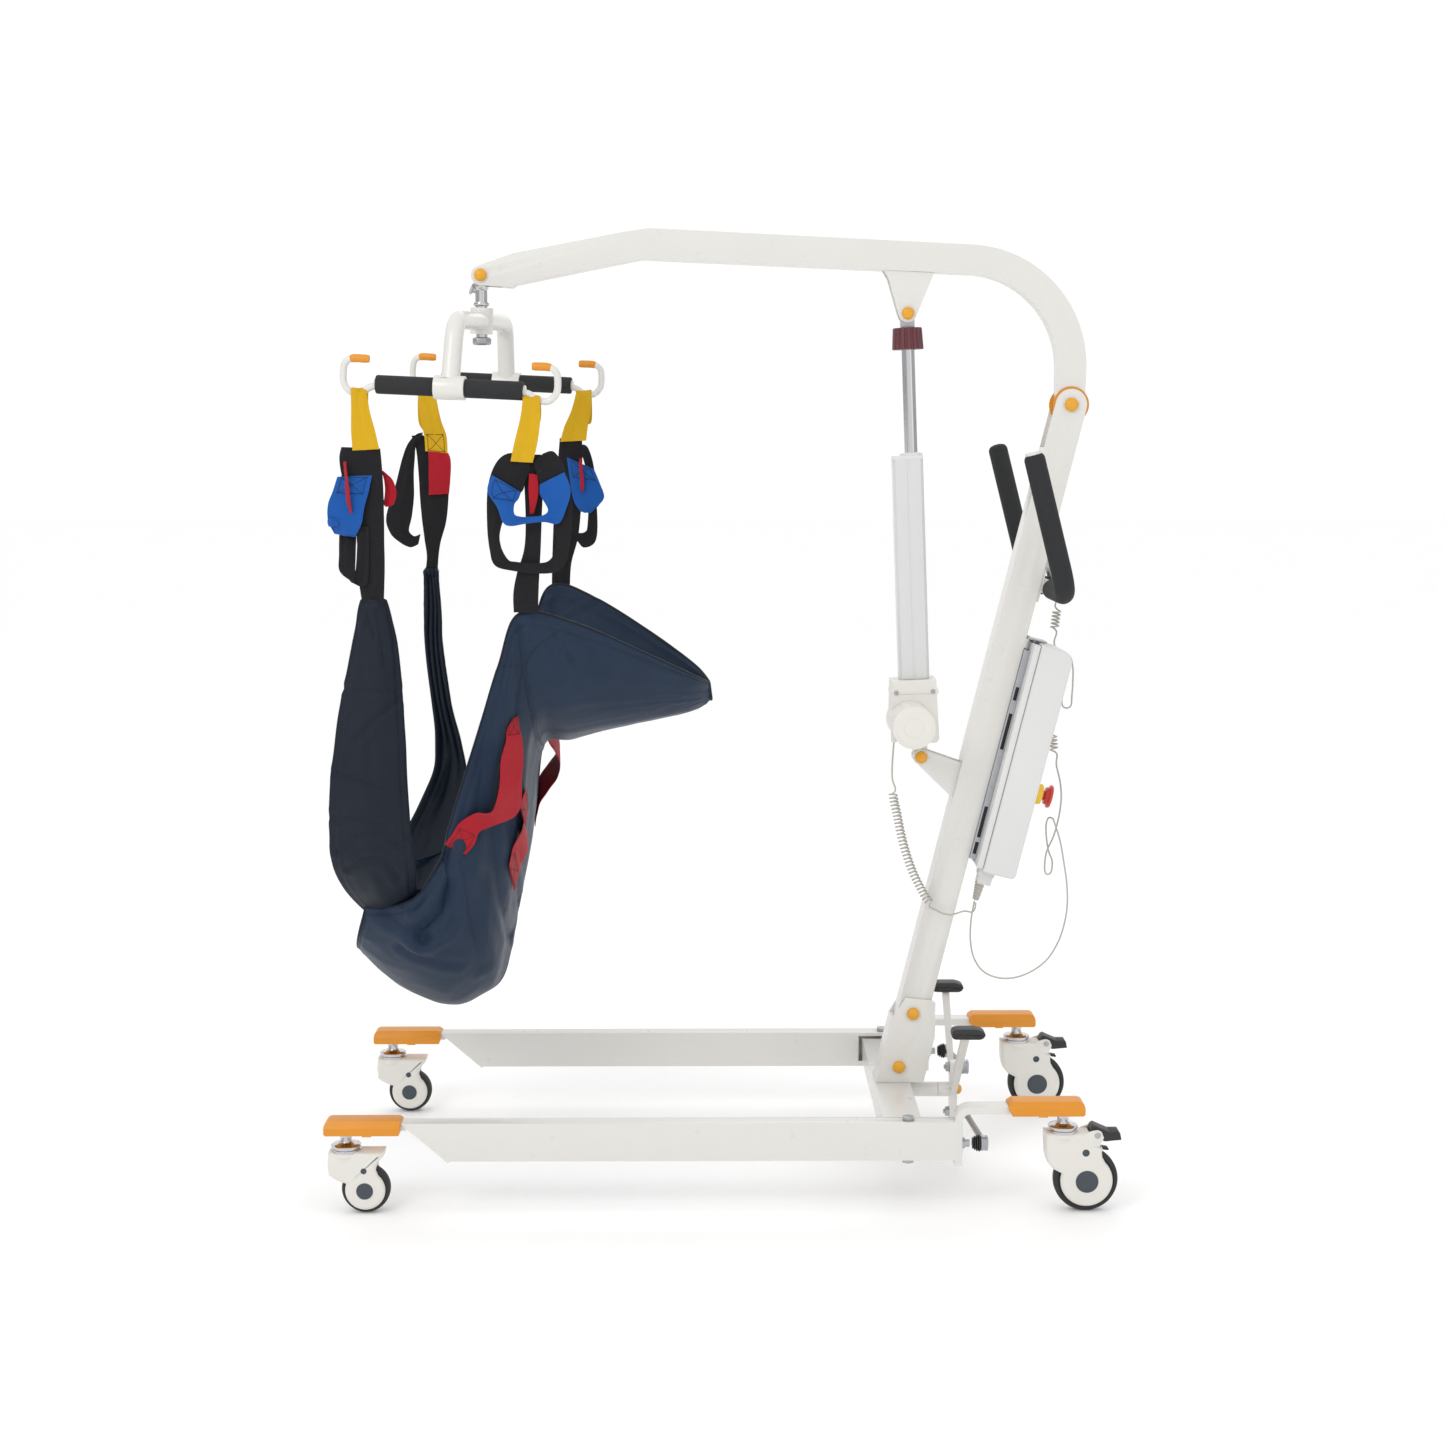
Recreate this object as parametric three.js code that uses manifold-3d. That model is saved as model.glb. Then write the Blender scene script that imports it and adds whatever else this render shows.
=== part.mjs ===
// Patient lift hoist: a wheeled base with spreading legs, a leaning mast, a boom raised by an
// electric linear actuator, and a swivelling cradle with four hooks that carries a fabric sling.
// Millimetres. +Z is up, +X points to the carer's end (push handles), -X to the patient's end,
// +Y to the far leg. The origin is under the middle of the base, on the floor.
import * as THREE from 'three';
import { mergeVertices } from 'three/addons/utils/BufferGeometryUtils.js';
import Module from 'manifold-3d';

const wasm = await Module();
wasm.setup();

// ---- Driving dimensions -------------------------------------------------------------------
const GAP = 0.3;                 // clearance between touching pieces
const TRACK = 258.5;             // leg centre line to the middle plane
const SIDES = [{ name: 'near', s: -1 }, { name: 'far', s: 1 }];

const LEG = { top: 143, bottom: 83, width: 30, wall: 2.5, frontTop: -496, frontBottom: -427, rear: 357 };
const LEG_PIVOT_X = 285;
const LEG_STUD = { x: 401, z: 106, r: 6 };
const FRONT_BAR = { from: -600, to: -488, bottom: 131, top: 142.7, half: 12 };
const REAR_BAR = { x0: 356, x1: 367.5, foot: 74, bottom: 156, top: 167.5, to: 548, half: 15 };
const FRONT_CAP = { x0: -613, x1: -493, z0: 126, z1: 148, half: 22.5 };
const REAR_CAP = { x0: 438, x1: 555, z0: 154.5, z1: 176, half: 22.5 };

const BEAM = { x0: 249, x1: 309, z0: 94, z1: 134, end: 238.5, wall: 3 };
const TONGUE = { half: 11, z0: 106, z1: 122 };
const PEDAL_AXIS_Z = 114;
const PEDAL_STUD = 38;           // stud distance from the pedal axis
const PAD = { y: 151, z: 251, x: 389 };

const FRONT_CASTER = { stemX: -582, trail: 30, r: 37.5, raceZ: 98, stemTop: 130.7 };
const REAR_CASTER = { stemX: 524, trail: 36, r: 50, raceZ: 126, stemTop: 155.7 };
const BRAKE_PIVOT = { x: 15, z: 73.5 };   // from the rear wheel's centre

const MAST_PIVOT = { x: 553.4, z: 1238.9 };
const MAST_LEAN = 13.7 * Math.PI / 180;
const MAST = { half: 25, wall: 2.5, length: 1118, earDepth: 75, earGap: 22.2 };
const FOOT_BOLTS = [{ name: 'lower', x: 290, z: 161 }, { name: 'upper', x: 312.5, z: 250.5 }];
const BRACKET = { inner: 25.4, outer: 30.4 };

const BOOM = { half: 20, depth: 45.5, wall: 2.5, bendX: 385, bendZ: 1296.5, bendR: 192 };
const BOOM_TIP = { x: -380.4, z: 1440.7, r: 15.5 };
const BOOM_KNEE = { x: -113.6, z: 1513.3 };

const PIN_BASE = { x: 322.2, z: 673.6 };   // actuator's lower pin
const PIN_TOP = { x: 293, z: 1381.8 };     // actuator's upper pin
const PIN_R = 6;
const LUG = { inner: 13, outer: 18 };      // cheek plates that hold both actuator pins
const ROD_R = 10.5;

const HANDLE = { x: 524, z: 948, half: 200, rise: 225, bend: 45, r: 12.5, foamR: 16 };
const HANDLE_SLOPE = [-0.25, 0, 0.968];
const HANDSET_Y = 75;

const BOX = { x0: 36, x1: 101, z0: -758, z1: -378, half: 60 };   // in the mast's own frame
const ESTOP = { z: -619.8, travel: 4 };

const HUB = { x: -381.5, z: 1370 };        // cradle's hanging point
const CRADLE_TURN = { yaw: -5.2, pitch: 2.7, roll: 2.3 };
const CRADLE = { bar: 111, half: 233.5, barZ: -100, foamR: 14, sleeve: 23, yokeR: 14, shoulder: 205 };
const HOOK_R = 5.5;

// ---- Materials ----------------------------------------------------------------------------
const material = (color, roughness, metalness = 0) =>
  new THREE.MeshStandardMaterial({ color, roughness, metalness });
const CREAM = material(0xe6e2da, 0.35);
const ORANGE = material(0xe08c1c, 0.45);
const CREAM_PLASTIC = material(0xe2ddd2, 0.5);
const RUBBER = material(0x232326, 0.8);
const FOAM = material(0x1d1e20, 0.95);
const CHROME = material(0xd0d2d4, 0.15, 1);
const STEEL = material(0x9a9c9f, 0.35, 1);
const MAROON = material(0x5e2e34, 0.5);
const WHITE_PLASTIC = material(0xe4e6e6, 0.4);
const RED = material(0xc62a20, 0.4);
const NAVY = material(0x26374a, 0.7);
const YELLOW = material(0xe0b21e, 0.7);
const GREY_CORD = material(0xc9cac8, 0.5);

// ---- Solid helpers ------------------------------------------------------------------------
const V = (x, y, z) => new THREE.Vector3(x, y, z);
const UP = V(0, 0, 1);

function solid(geometry) {
  const bare = geometry.clone();
  bare.deleteAttribute('normal');
  bare.deleteAttribute('uv');
  const merged = mergeVertices(bare, 1e-4);
  const mesh = new wasm.Mesh({
    numProp: 3,
    vertProperties: merged.attributes.position.array,
    triVerts: new Uint32Array(merged.index.array),
  });
  return new wasm.Manifold(mesh);
}

const join = (...parts) => parts.reduce((sum, part) => sum.add(part));
const cut = (body, ...tools) => tools.reduce((rest, tool) => rest.subtract(tool), body);

function box(x0, x1, y0, y1, z0, z1) {
  const geometry = new THREE.BoxGeometry(x1 - x0, y1 - y0, z1 - z0);
  geometry.translate((x0 + x1) / 2, (y0 + y1) / 2, (z0 + z1) / 2);
  return solid(geometry);
}

// A cylinder from point a to point b.
function rod(a, b, r, sides = 20, r2 = r) {
  const from = V(...a);
  const to = V(...b);
  const geometry = new THREE.CylinderGeometry(r2, r, from.distanceTo(to), sides);
  const turn = new THREE.Quaternion().setFromUnitVectors(V(0, 1, 0), to.clone().sub(from).normalize());
  geometry.applyQuaternion(turn);
  const middle = from.add(to).multiplyScalar(0.5);
  geometry.translate(middle.x, middle.y, middle.z);
  return solid(geometry);
}

const acrossY = (x, z, r, y0, y1, sides = 20) => rod([x, y0, z], [x, y1, z], r, sides);

function shapeOf(points) {
  const shape = new THREE.Shape();
  points.forEach(([x, y], i) => (i ? shape.lineTo(x, y) : shape.moveTo(x, y)));
  shape.closePath();
  return shape;
}

// An X-Z outline given a thickness along Y.
function prismY(outline, y0, y1, curveSegments = 8) {
  const shape = outline instanceof THREE.Shape ? outline : shapeOf(outline);
  const geometry = new THREE.ExtrudeGeometry(shape, { depth: y1 - y0, bevelEnabled: false, curveSegments });
  geometry.rotateX(Math.PI / 2);
  geometry.translate(0, y1, 0);
  return solid(geometry);
}

// A Y-Z outline given a thickness along X.
function prismX(outline, x0, x1) {
  const geometry = new THREE.ExtrudeGeometry(shapeOf(outline), { depth: x1 - x0, bevelEnabled: false });
  geometry.applyMatrix4(new THREE.Matrix4().makeBasis(V(0, 1, 0), V(0, 0, 1), V(1, 0, 0)));
  geometry.translate(x0, 0, 0);
  return solid(geometry);
}

// A closed profile of [radius, y] turned round the Y axis.
function turned(profile, segments = 32) {
  const points = profile.map(([r, y]) => new THREE.Vector2(r, y));
  return solid(new THREE.LatheGeometry(points, segments));
}

// Points along a line whose corners are rounded.
function filleted(points, radius, steps = 6) {
  const line = [points[0]];
  for (let i = 1; i < points.length - 1; i += 1) {
    const before = points[i].clone().lerp(points[i - 1], radius / points[i].distanceTo(points[i - 1]));
    const after = points[i].clone().lerp(points[i + 1], radius / points[i].distanceTo(points[i + 1]));
    line.push(...new THREE.QuadraticBezierCurve3(before, points[i], after).getPoints(steps));
  }
  line.push(points[points.length - 1]);
  return line;
}

// A round bar along a list of points.
function tube(points, r, sides = 12) {
  const last = points.length - 1;
  let side = null;
  const rings = points.map((point, i) => {
    const ahead = points[Math.min(i + 1, last)].clone().sub(point).normalize();
    const behind = point.clone().sub(points[Math.max(i - 1, 0)]).normalize();
    const along = ahead.add(behind).normalize();
    if (!side) side = Math.abs(along.z) < 0.9 ? V(0, 0, 1) : V(1, 0, 0);
    side = side.clone().addScaledVector(along, -side.dot(along)).normalize();
    const other = along.clone().cross(side);
    return Array.from({ length: sides }, (_, j) => {
      const turn = (2 * Math.PI * (j + 0.5)) / sides;
      const out = side.clone().multiplyScalar(r * Math.cos(turn)).addScaledVector(other, r * Math.sin(turn));
      return point.clone().add(out).toArray();
    });
  });
  return loft(rings);
}

// A closed skin through rings of points. All rings hold the same even count of points.
function loft(rings) {
  const positions = [];
  const count = rings[0].length;
  const face = (a, b, c) => positions.push(...a, ...b, ...c);
  for (let i = 0; i < rings.length - 1; i += 1) {
    for (let j = 0; j < count; j += 1) {
      const k = (j + 1) % count;
      face(rings[i][j], rings[i + 1][j], rings[i + 1][k]);
      face(rings[i][j], rings[i + 1][k], rings[i][k]);
    }
  }
  const closeEnd = (ring, flip) => {
    for (let j = 0; j < count / 2 - 1; j += 1) {
      const quad = [ring[j], ring[j + 1], ring[count - 2 - j], ring[count - 1 - j]];
      const [a, b, c, d] = flip ? quad.reverse() : quad;
      face(a, b, c);
      face(a, c, d);
    }
  };
  closeEnd(rings[0], false);
  closeEnd(rings[rings.length - 1], true);
  const closed = (list) => {
    const geometry = new THREE.BufferGeometry();
    geometry.setAttribute('position', new THREE.Float32BufferAttribute(list, 3));
    return solid(geometry);
  };
  const made = closed(positions);
  if (made.volume() > 0) return made;
  const flipped = [];
  for (let i = 0; i < positions.length; i += 9) {
    flipped.push(...positions.slice(i, i + 3), ...positions.slice(i + 6, i + 9), ...positions.slice(i + 3, i + 6));
  }
  return closed(flipped);
}

// A strip of webbing or cloth: stations are [x, y, z, half width along X, half thickness along Y].
function strip(stations) {
  return loft(stations.map(([x, y, z, w, t]) => [
    [x - w, y - t, z], [x + w, y - t, z], [x + w, y + t, z], [x - w, y + t, z],
  ]));
}

const hoist = new THREE.Group();

function part(name, body, look, parent = hoist) {
  const { vertProperties, triVerts, numProp } = body.getMesh();
  const geometry = new THREE.BufferGeometry();
  const positions = [];
  for (let i = 0; i < vertProperties.length; i += numProp) {
    positions.push(vertProperties[i], vertProperties[i + 1], vertProperties[i + 2]);
  }
  geometry.setAttribute('position', new THREE.Float32BufferAttribute(positions, 3));
  geometry.setIndex(Array.from(triVerts));
  const mesh = new THREE.Mesh(geometry, look);
  mesh.name = name;
  parent.add(mesh);
  return mesh;
}

function group(x, y, z, turnY = 0, parent = hoist) {
  const made = new THREE.Group();
  made.position.set(x, y, z);
  made.rotation.y = turnY;
  parent.add(made);
  return made;
}

// ---- Base: crossbeam, legs, caps, casters ---------------------------------------------------
function crossbeam() {
  const { x0, x1, z0, z1, end, wall } = BEAM;
  const shell = cut(
    box(x0, x1, -end, end, z0, z1),
    box(x0 + wall, x1 - wall, -end + wall, end - wall, z0 + wall, z1 - wall),
  );
  const boss = rod([x1 - 1, 0, PEDAL_AXIS_Z], [357, 0, PEDAL_AXIS_Z], 12);
  let body = join(shell, boss);
  for (const { s } of SIDES) {
    const y0 = Math.min(s * (end - 6), s * TRACK);
    const y1 = Math.max(s * (end - 6), s * TRACK);
    const tongue = box(LEG_PIVOT_X - TONGUE.half, LEG_PIVOT_X + TONGUE.half, y0, y1, TONGUE.z0, TONGUE.z1);
    const nose = rod([LEG_PIVOT_X, s * TRACK, TONGUE.z0], [LEG_PIVOT_X, s * TRACK, TONGUE.z1], TONGUE.half);
    const hole = rod([LEG_PIVOT_X, s * TRACK, 90], [LEG_PIVOT_X, s * TRACK, 140], 6.4);
    body = cut(join(body, tongue, nose), hole);
  }
  return cut(body, rod([300, 0, PEDAL_AXIS_Z], [358, 0, PEDAL_AXIS_Z], 5.4));
}

function leg(s) {
  const { top, bottom, width, wall, frontTop, frontBottom, rear } = LEG;
  const half = width / 2;
  const slope = (frontBottom - frontTop) / (top - bottom);
  const faceX = (z) => frontTop + (top - z) * slope;
  const plate = 6;
  const tubeBody = prismY([[frontTop, top], [frontBottom, bottom], [rear, bottom], [rear, top]], -half, half);
  const high = top - wall;
  const low = bottom + wall;
  const cavity = prismY(
    [[faceX(high) + plate, high], [faceX(low) + plate, low], [rear - 1, low], [rear - 1, high]],
    -half + wall,
    half - wall,
  );
  const lip = prismY(
    [[faceX(88), 88], [faceX(80.5), 80.5], [faceX(80.5) + 4.5, 83.5], [faceX(88) + 5, 88]],
    -half,
    half,
  );
  const front = box(FRONT_BAR.from, FRONT_BAR.to, -FRONT_BAR.half, FRONT_BAR.half, FRONT_BAR.bottom, FRONT_BAR.top);
  const { x0, x1, foot, bottom: z0, top: z1, to } = REAR_BAR;
  const bend = new THREE.Shape();
  bend.moveTo(x0, foot);
  bend.lineTo(x1, foot);
  bend.lineTo(x1, z0 - 12);
  bend.absarc(x1 + 12, z0 - 12, 12, Math.PI, Math.PI / 2, true);
  bend.lineTo(to, z0);
  bend.lineTo(to, z1);
  bend.lineTo(x1 + 12, z1);
  bend.absarc(x1 + 12, z0 - 12, z1 - z0 + 12, Math.PI / 2, Math.PI, false);
  bend.closePath();
  const bar = prismY(bend, -REAR_BAR.half, REAR_BAR.half);
  const stud = rod([x1 - 1, 0, LEG_STUD.z], [380, 0, LEG_STUD.z], LEG_STUD.r);
  const nut = rod([x1 - 1, 0, LEG_STUD.z], [x1 + 5, 0, LEG_STUD.z], 9, 6);
  const inner = -s * half;
  const windowCut = box(243, 309, Math.min(inner - s, inner + s * 4), Math.max(inner - s, inner + s * 4), 92, 137);
  const hole = rod([LEG_PIVOT_X, 0, bottom - 5], [LEG_PIVOT_X, 0, top + 5], 6.4);
  return cut(join(tubeBody, lip, front, bar, stud, nut), cavity, windowCut, hole);
}

function cap({ x0, x1, z0, z1, half }, bar, stemX, front) {
  const rise = z1 - z0;
  const tip = front ? x0 : x1;
  const back = front ? x1 : x0;
  const d = front ? 1 : -1;
  const side = prismY(
    [
      [tip, z0 + 2], [tip + 3 * d, z0], [back - 5 * d, z0], [back - 5 * d, z0 + 5], [back, z0 + 8],
      [back, z1 - 6], [back - 7 * d, z1], [tip + 9 * d, z1], [tip + 4 * d, z1 - 1.5], [tip + 1.2 * d, z1 - 4.5],
      [tip, z1 - 9],
    ],
    -half,
    half,
  );
  const tabX = (tip + back) / 2 + 6 * d;
  const tab = box(tabX - 7, tabX + 7, -half, half, z0 - 1.6, z0 + 1);
  const section = prismX(
    [[-half, z0 - 3], [half, z0 - 3], [half, z0 + 0.5 * rise], [half - 7, z1], [7 - half, z1], [-half, z0 + 0.5 * rise]],
    Math.min(x0, x1) - 1,
    Math.max(x0, x1) + 1,
  );
  const pocket = front
    ? box(bar.from - GAP, x1 + 1, -bar.half - GAP, bar.half + GAP, bar.bottom - GAP, bar.top + GAP)
    : box(x0 - 1, bar.to + GAP, -bar.half - GAP, bar.half + GAP, bar.bottom - GAP, bar.top + GAP);
  const stemHole = rod([stemX, 0, z0 - 5], [stemX, 0, bar.bottom + 1], 11);
  const legEnd = box(LEG.frontTop - GAP, LEG.rear, -half - 1, half + 1, bar.bottom - GAP, LEG.top + GAP);
  const body = cut(join(side, tab).intersect(section), pocket, stemHole);
  return front ? cut(body, legEnd) : body;
}

function pivotBolt() {
  return join(
    rod([0, 0, LEG.bottom - 6], [0, 0, LEG.top + 6], 6, 16),
    rod([0, 0, LEG.top + GAP], [0, 0, LEG.top + 6], 10, 6),
    rod([0, 0, LEG.bottom - 7], [0, 0, LEG.bottom - GAP], 10, 6),
  );
}

// Caster covers seen from the side, from the wheel's centre.
function frontCover(r) {
  const shape = new THREE.Shape();
  shape.moveTo(-55, 61);
  shape.lineTo(-57, 42);
  shape.lineTo(-55.5, 24);
  shape.lineTo(-34, 12);
  shape.absarc(0, 0, r, 2.8, 2 * Math.PI + 0.85, false);
  shape.lineTo(17, 32);
  shape.lineTo(19, 42);
  shape.lineTo(29, 54);
  shape.lineTo(30, 61);
  shape.closePath();
  return shape;
}

function rearCover(r) {
  const shape = new THREE.Shape();
  shape.moveTo(-65, 76);
  shape.lineTo(-63.5, 41);
  shape.lineTo(-61, 30);
  shape.lineTo(-50, 16);
  shape.absarc(0, 0, r, 2.85, 2 * Math.PI + 0.78, false);
  shape.lineTo(24, 39);
  shape.lineTo(24, 51);
  shape.lineTo(14, 57);
  shape.lineTo(4, 62);
  shape.lineTo(3, 76);
  shape.closePath();
  return shape;
}

function casterFork({ trail, r, raceZ, stemTop }, cover, coverR) {
  const width = 19.5;
  const placed = prismY(cover(coverR), -width, width, 14).translate([trail, 0, r]);
  const slot = acrossY(trail, r, r + 2.5, -12.5, 12.5, 36);
  const axle = acrossY(trail, r, 5, -15, 15, 12);
  const lower = rod([0, 0, raceZ - 8], [0, 0, raceZ + 3], 21);
  const race = rod([0, 0, raceZ - 1], [0, 0, raceZ + 12], 23, 28);
  const stem = rod([0, 0, raceZ], [0, 0, stemTop], 9);
  return join(cut(placed, slot), axle, lower, race, stem);
}

function wheel(r) {
  return turned([
    [5.5, -11], [r - 6, -11], [r - 1.5, -8], [r, -3], [r, 3], [r - 1.5, 8], [r - 6, 11], [5.5, 11], [5.5, -11],
  ]);
}

// Cheeks on the rear cover that hold the brake pedal's pin.
function brakeCheeks() {
  const { x, z } = BRAKE_PIVOT;
  const outline = [[x - 22, z + 2], [x - 17, z - 18], [x + 3, z - 19], [x + 10, z - 4], [x + 6, z + 7], [x - 7, z + 9]];
  const cheek = (s) => prismY(outline, Math.min(s * 15.6, s * 19.3), Math.max(s * 15.6, s * 19.3));
  return join(cheek(-1), cheek(1), acrossY(x, z, 3, -17, 17, 12)).translate([REAR_CASTER.trail, 0, REAR_CASTER.r]);
}

function brakePedal() {
  const { x, z } = BRAKE_PIVOT;
  const outline = [
    [x - 9, z - 1], [x - 10, z + 7], [x - 4, z + 14], [x + 20, z + 4], [x + 33, z + 3.5],
    [x + 38, z - 9], [x + 11, z - 11.5], [x + 4, z - 8], [x - 3, z - 7],
  ];
  return cut(prismY(outline, -15, 15), acrossY(x, z, 3.4, -16, 16, 12));
}

part('crossbeam', crossbeam(), CREAM);
for (const { name, s } of SIDES) {
  const side = group(0, s * TRACK, 0);
  part(`${name}_leg`, leg(s), CREAM, side);
  part(`${name}_front_cap`, cap(FRONT_CAP, FRONT_BAR, FRONT_CASTER.stemX, true), ORANGE, side);
  part(`${name}_rear_cap`, cap(REAR_CAP, REAR_BAR, REAR_CASTER.stemX, false), ORANGE, side);
  part(`${name}_leg_pivot_bolt`, pivotBolt(), STEEL, group(LEG_PIVOT_X, 0, 0, 0, side));

  const front = group(FRONT_CASTER.stemX, 0, 0, 0, side);
  part(`${name}_front_caster_fork`, casterFork(FRONT_CASTER, frontCover, 31), CREAM_PLASTIC, front);
  const frontWheel = part(`${name}_front_wheel`, wheel(FRONT_CASTER.r), RUBBER, front);
  frontWheel.position.set(FRONT_CASTER.trail, 0, FRONT_CASTER.r);

  const rear = group(REAR_CASTER.stemX, 0, 0, 0, side);
  part(`${name}_rear_caster_fork`, join(casterFork(REAR_CASTER, rearCover, 40.5), brakeCheeks()), CREAM_PLASTIC, rear);
  const rearWheel = part(`${name}_rear_wheel`, wheel(REAR_CASTER.r), RUBBER, rear);
  rearWheel.position.set(REAR_CASTER.trail, 0, REAR_CASTER.r);
  const brake = part(`${name}_brake_pedal`, brakePedal(), RUBBER, rear);
  brake.position.set(REAR_CASTER.trail, 0, REAR_CASTER.r);
}

// ---- Leg spreading linkage: foot pedal and two tie rods --------------------------------------
function spreaderPedal() {
  const z = PEDAL_AXIS_Z;
  const sleeve = rod([357.5, 0, z], [378, 0, z], 12);
  const shaft = rod([322, 0, z], [360, 0, z], 5, 16);
  const plate = box(377, 389, -10, 10, z - PEDAL_STUD - 10, z + PEDAL_STUD + 10);
  const endCap = rod([388, 0, z], [398, 0, z], 8.5, 20, 5);
  let body = join(sleeve, shaft, plate, endCap);
  for (const s of [-1, 1]) {
    const studZ = z + s * PEDAL_STUD;
    const stud = rod([368, 0, studZ], [378, 0, studZ], 8, 6);
    const boot = rod([388, 0, studZ], [393.8, 0, studZ], 9);
    const arm = loft([
      [[378, s * 2 - 6, z - 9], [388, s * 2 - 6, z - 9], [388, s * 2 + 6, z + 7], [378, s * 2 + 6, z + 7]],
      [
        [PAD.x - 10, s * PAD.y - 6, PAD.z - 6], [PAD.x + 2, s * PAD.y - 6, PAD.z - 6],
        [PAD.x + 2, s * PAD.y + 6, PAD.z - 4], [PAD.x - 10, s * PAD.y + 6, PAD.z - 4],
      ],
    ]);
    const pad = prismY(
      [
        [PAD.x - 27, PAD.z - 6], [PAD.x - 22, PAD.z - 9], [PAD.x + 20, PAD.z - 9], [PAD.x + 27, PAD.z - 4],
        [PAD.x + 26, PAD.z + 1], [PAD.x + 12, PAD.z + 9], [PAD.x - 22, PAD.z + 9], [PAD.x - 27, PAD.z + 4],
      ],
      s * PAD.y - 16,
      s * PAD.y + 16,
    );
    body = join(body, stud, boot, arm, pad);
  }
  return body;
}

function tieRod(s) {
  const legEnd = [LEG_STUD.x, s * TRACK, LEG_STUD.z];
  const pedalEnd = [LEG_STUD.x, 0, PEDAL_AXIS_Z + s * PEDAL_STUD];
  const head = ([x, y, z]) => rod([x - 4.5, y, z], [x + 7, y, z], 12);
  const boot = rod([383.5, s * TRACK, LEG_STUD.z], [LEG_STUD.x - 4, s * TRACK, LEG_STUD.z], 9, 24, 12);
  return join(rod(legEnd, pedalEnd, 5, 12), head(legEnd), head(pedalEnd), boot);
}

part('leg_spreader_pedal', spreaderPedal(), CREAM);
for (const { name, s } of SIDES) part(`${name}_tie_rod`, tieRod(s), STEEL);

// ---- Mast ------------------------------------------------------------------------------------
const mast = group(MAST_PIVOT.x, 0, MAST_PIVOT.z, MAST_LEAN);

// A point of the base frame seen from the mast's own frame.
function onMast(x, z) {
  const dx = x - MAST_PIVOT.x;
  const dz = z - MAST_PIVOT.z;
  const c = Math.cos(MAST_LEAN);
  const s = Math.sin(MAST_LEAN);
  return [dx * c - dz * s, dx * s + dz * c];
}

function mastTube() {
  const { half, wall, length, earDepth, earGap } = MAST;
  const outer = join(box(-half, half, -half, half, -length, 0), acrossY(0, 0, half, -half, half, 32));
  const bore = box(-half + wall, half - wall, -half + wall, half - wall, -length - 1, half - 8);
  const fork = box(-half - 2, half + 2, -earGap, earGap, -earDepth, half + 2);
  const [px, pz] = onMast(PIN_BASE.x, PIN_BASE.z);
  const [ax, az] = onMast(384, 665);
  const [bx, bz] = onMast(372, 608);
  let body = cut(outer, bore, fork);
  for (const s of [-1, 1]) {
    const y0 = Math.min(s * LUG.inner, s * LUG.outer);
    const y1 = Math.max(s * LUG.inner, s * LUG.outer);
    const web = prismY([[px + 2, pz + 12.5], [px - 9, pz - 9], [bx, bz], [-half + 1.5, bz], [-half + 1.5, az], [ax, az]], y0, y1);
    body = join(body, web, acrossY(px, pz, 13, y0, y1));
  }
  const pinHole = acrossY(px, pz, PIN_R + 0.4, -30, 30);
  const pivotHole = acrossY(0, 0, 8.4, -30, 30);
  const bolts = FOOT_BOLTS.map(({ x, z }) => acrossY(...onMast(x, z), 6.4, -30, 30));
  return cut(body, pinHole, pivotHole, ...bolts);
}

// A bolt with a domed cap at both ends.
function cappedBolt(x, z, r, from, capR, thick = 6) {
  const shank = acrossY(x, z, r, -from - 2, from + 2, 12);
  const head = (s) => rod([x, s * from, z], [x, s * (from + thick), z], capR, 20, capR * 0.72);
  return join(shank, head(-1), head(1));
}

function footBracket() {
  const { inner, outer } = BRACKET;
  const plates = SIDES.map(({ s }) => prismY(
    [[252, 134.3], [331, 134.3], [349, 212], [349, 268], [344, 272], [300, 277], [278, 240]],
    Math.min(s * inner, s * outer),
    Math.max(s * inner, s * outer),
  ));
  const web = prismY([[252, 134.3], [258, 134.3], [283.8, 240], [277.8, 240]], -outer, outer);
  const holes = FOOT_BOLTS.map(({ x, z }) => acrossY(x, z, 6.4, -40, 40));
  return cut(join(...plates, web), ...holes);
}

part('mast_tube', mastTube(), CREAM, mast);
part('mast_foot_bracket', footBracket(), CREAM);
for (const { name, x, z } of FOOT_BOLTS) {
  part(`mast_foot_bolt_${name}`, cappedBolt(x, z, 6, BRACKET.outer + GAP, 10.5), ORANGE);
}
part('mast_pivot_bolt', cappedBolt(0, 0, 8, MAST.half + GAP, 11), ORANGE, mast);
part('actuator_base_pin', cappedBolt(...onMast(PIN_BASE.x, PIN_BASE.z), PIN_R, LUG.outer + GAP, 10), ORANGE, mast);

// ---- Push handle, grips, handset -----------------------------------------------------------
const slope = V(...HANDLE_SLOPE).normalize();

function handlePath(s, top, innerY) {
  const corner = V(HANDLE.x, s * HANDLE.half, HANDLE.z);
  const end = corner.clone().addScaledVector(slope, top);
  return [end, corner, V(HANDLE.x, innerY, HANDLE.z)];
}

function pushHandle() {
  const [nearTop, nearCorner] = handlePath(-1, HANDLE.rise, 0);
  const [farTop, farCorner] = handlePath(1, HANDLE.rise, 0);
  const bar = tube(filleted([nearTop, nearCorner, farCorner, farTop], HANDLE.bend), HANDLE.r, 14);
  const [hx, hz] = onMast(HANDLE.x, HANDLE.z);
  const saddle = join(
    box(MAST.half + GAP, MAST.half + 4.3, -22, 22, hz - 26, hz + 26),
    box(MAST.half + 2, hx, -15, 15, hz - 11, hz + 11),
  );
  const placed = saddle.rotate([0, MAST_LEAN * 180 / Math.PI, 0]);
  return join(bar, placed.translate([MAST_PIVOT.x, 0, MAST_PIVOT.z]));
}

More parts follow.
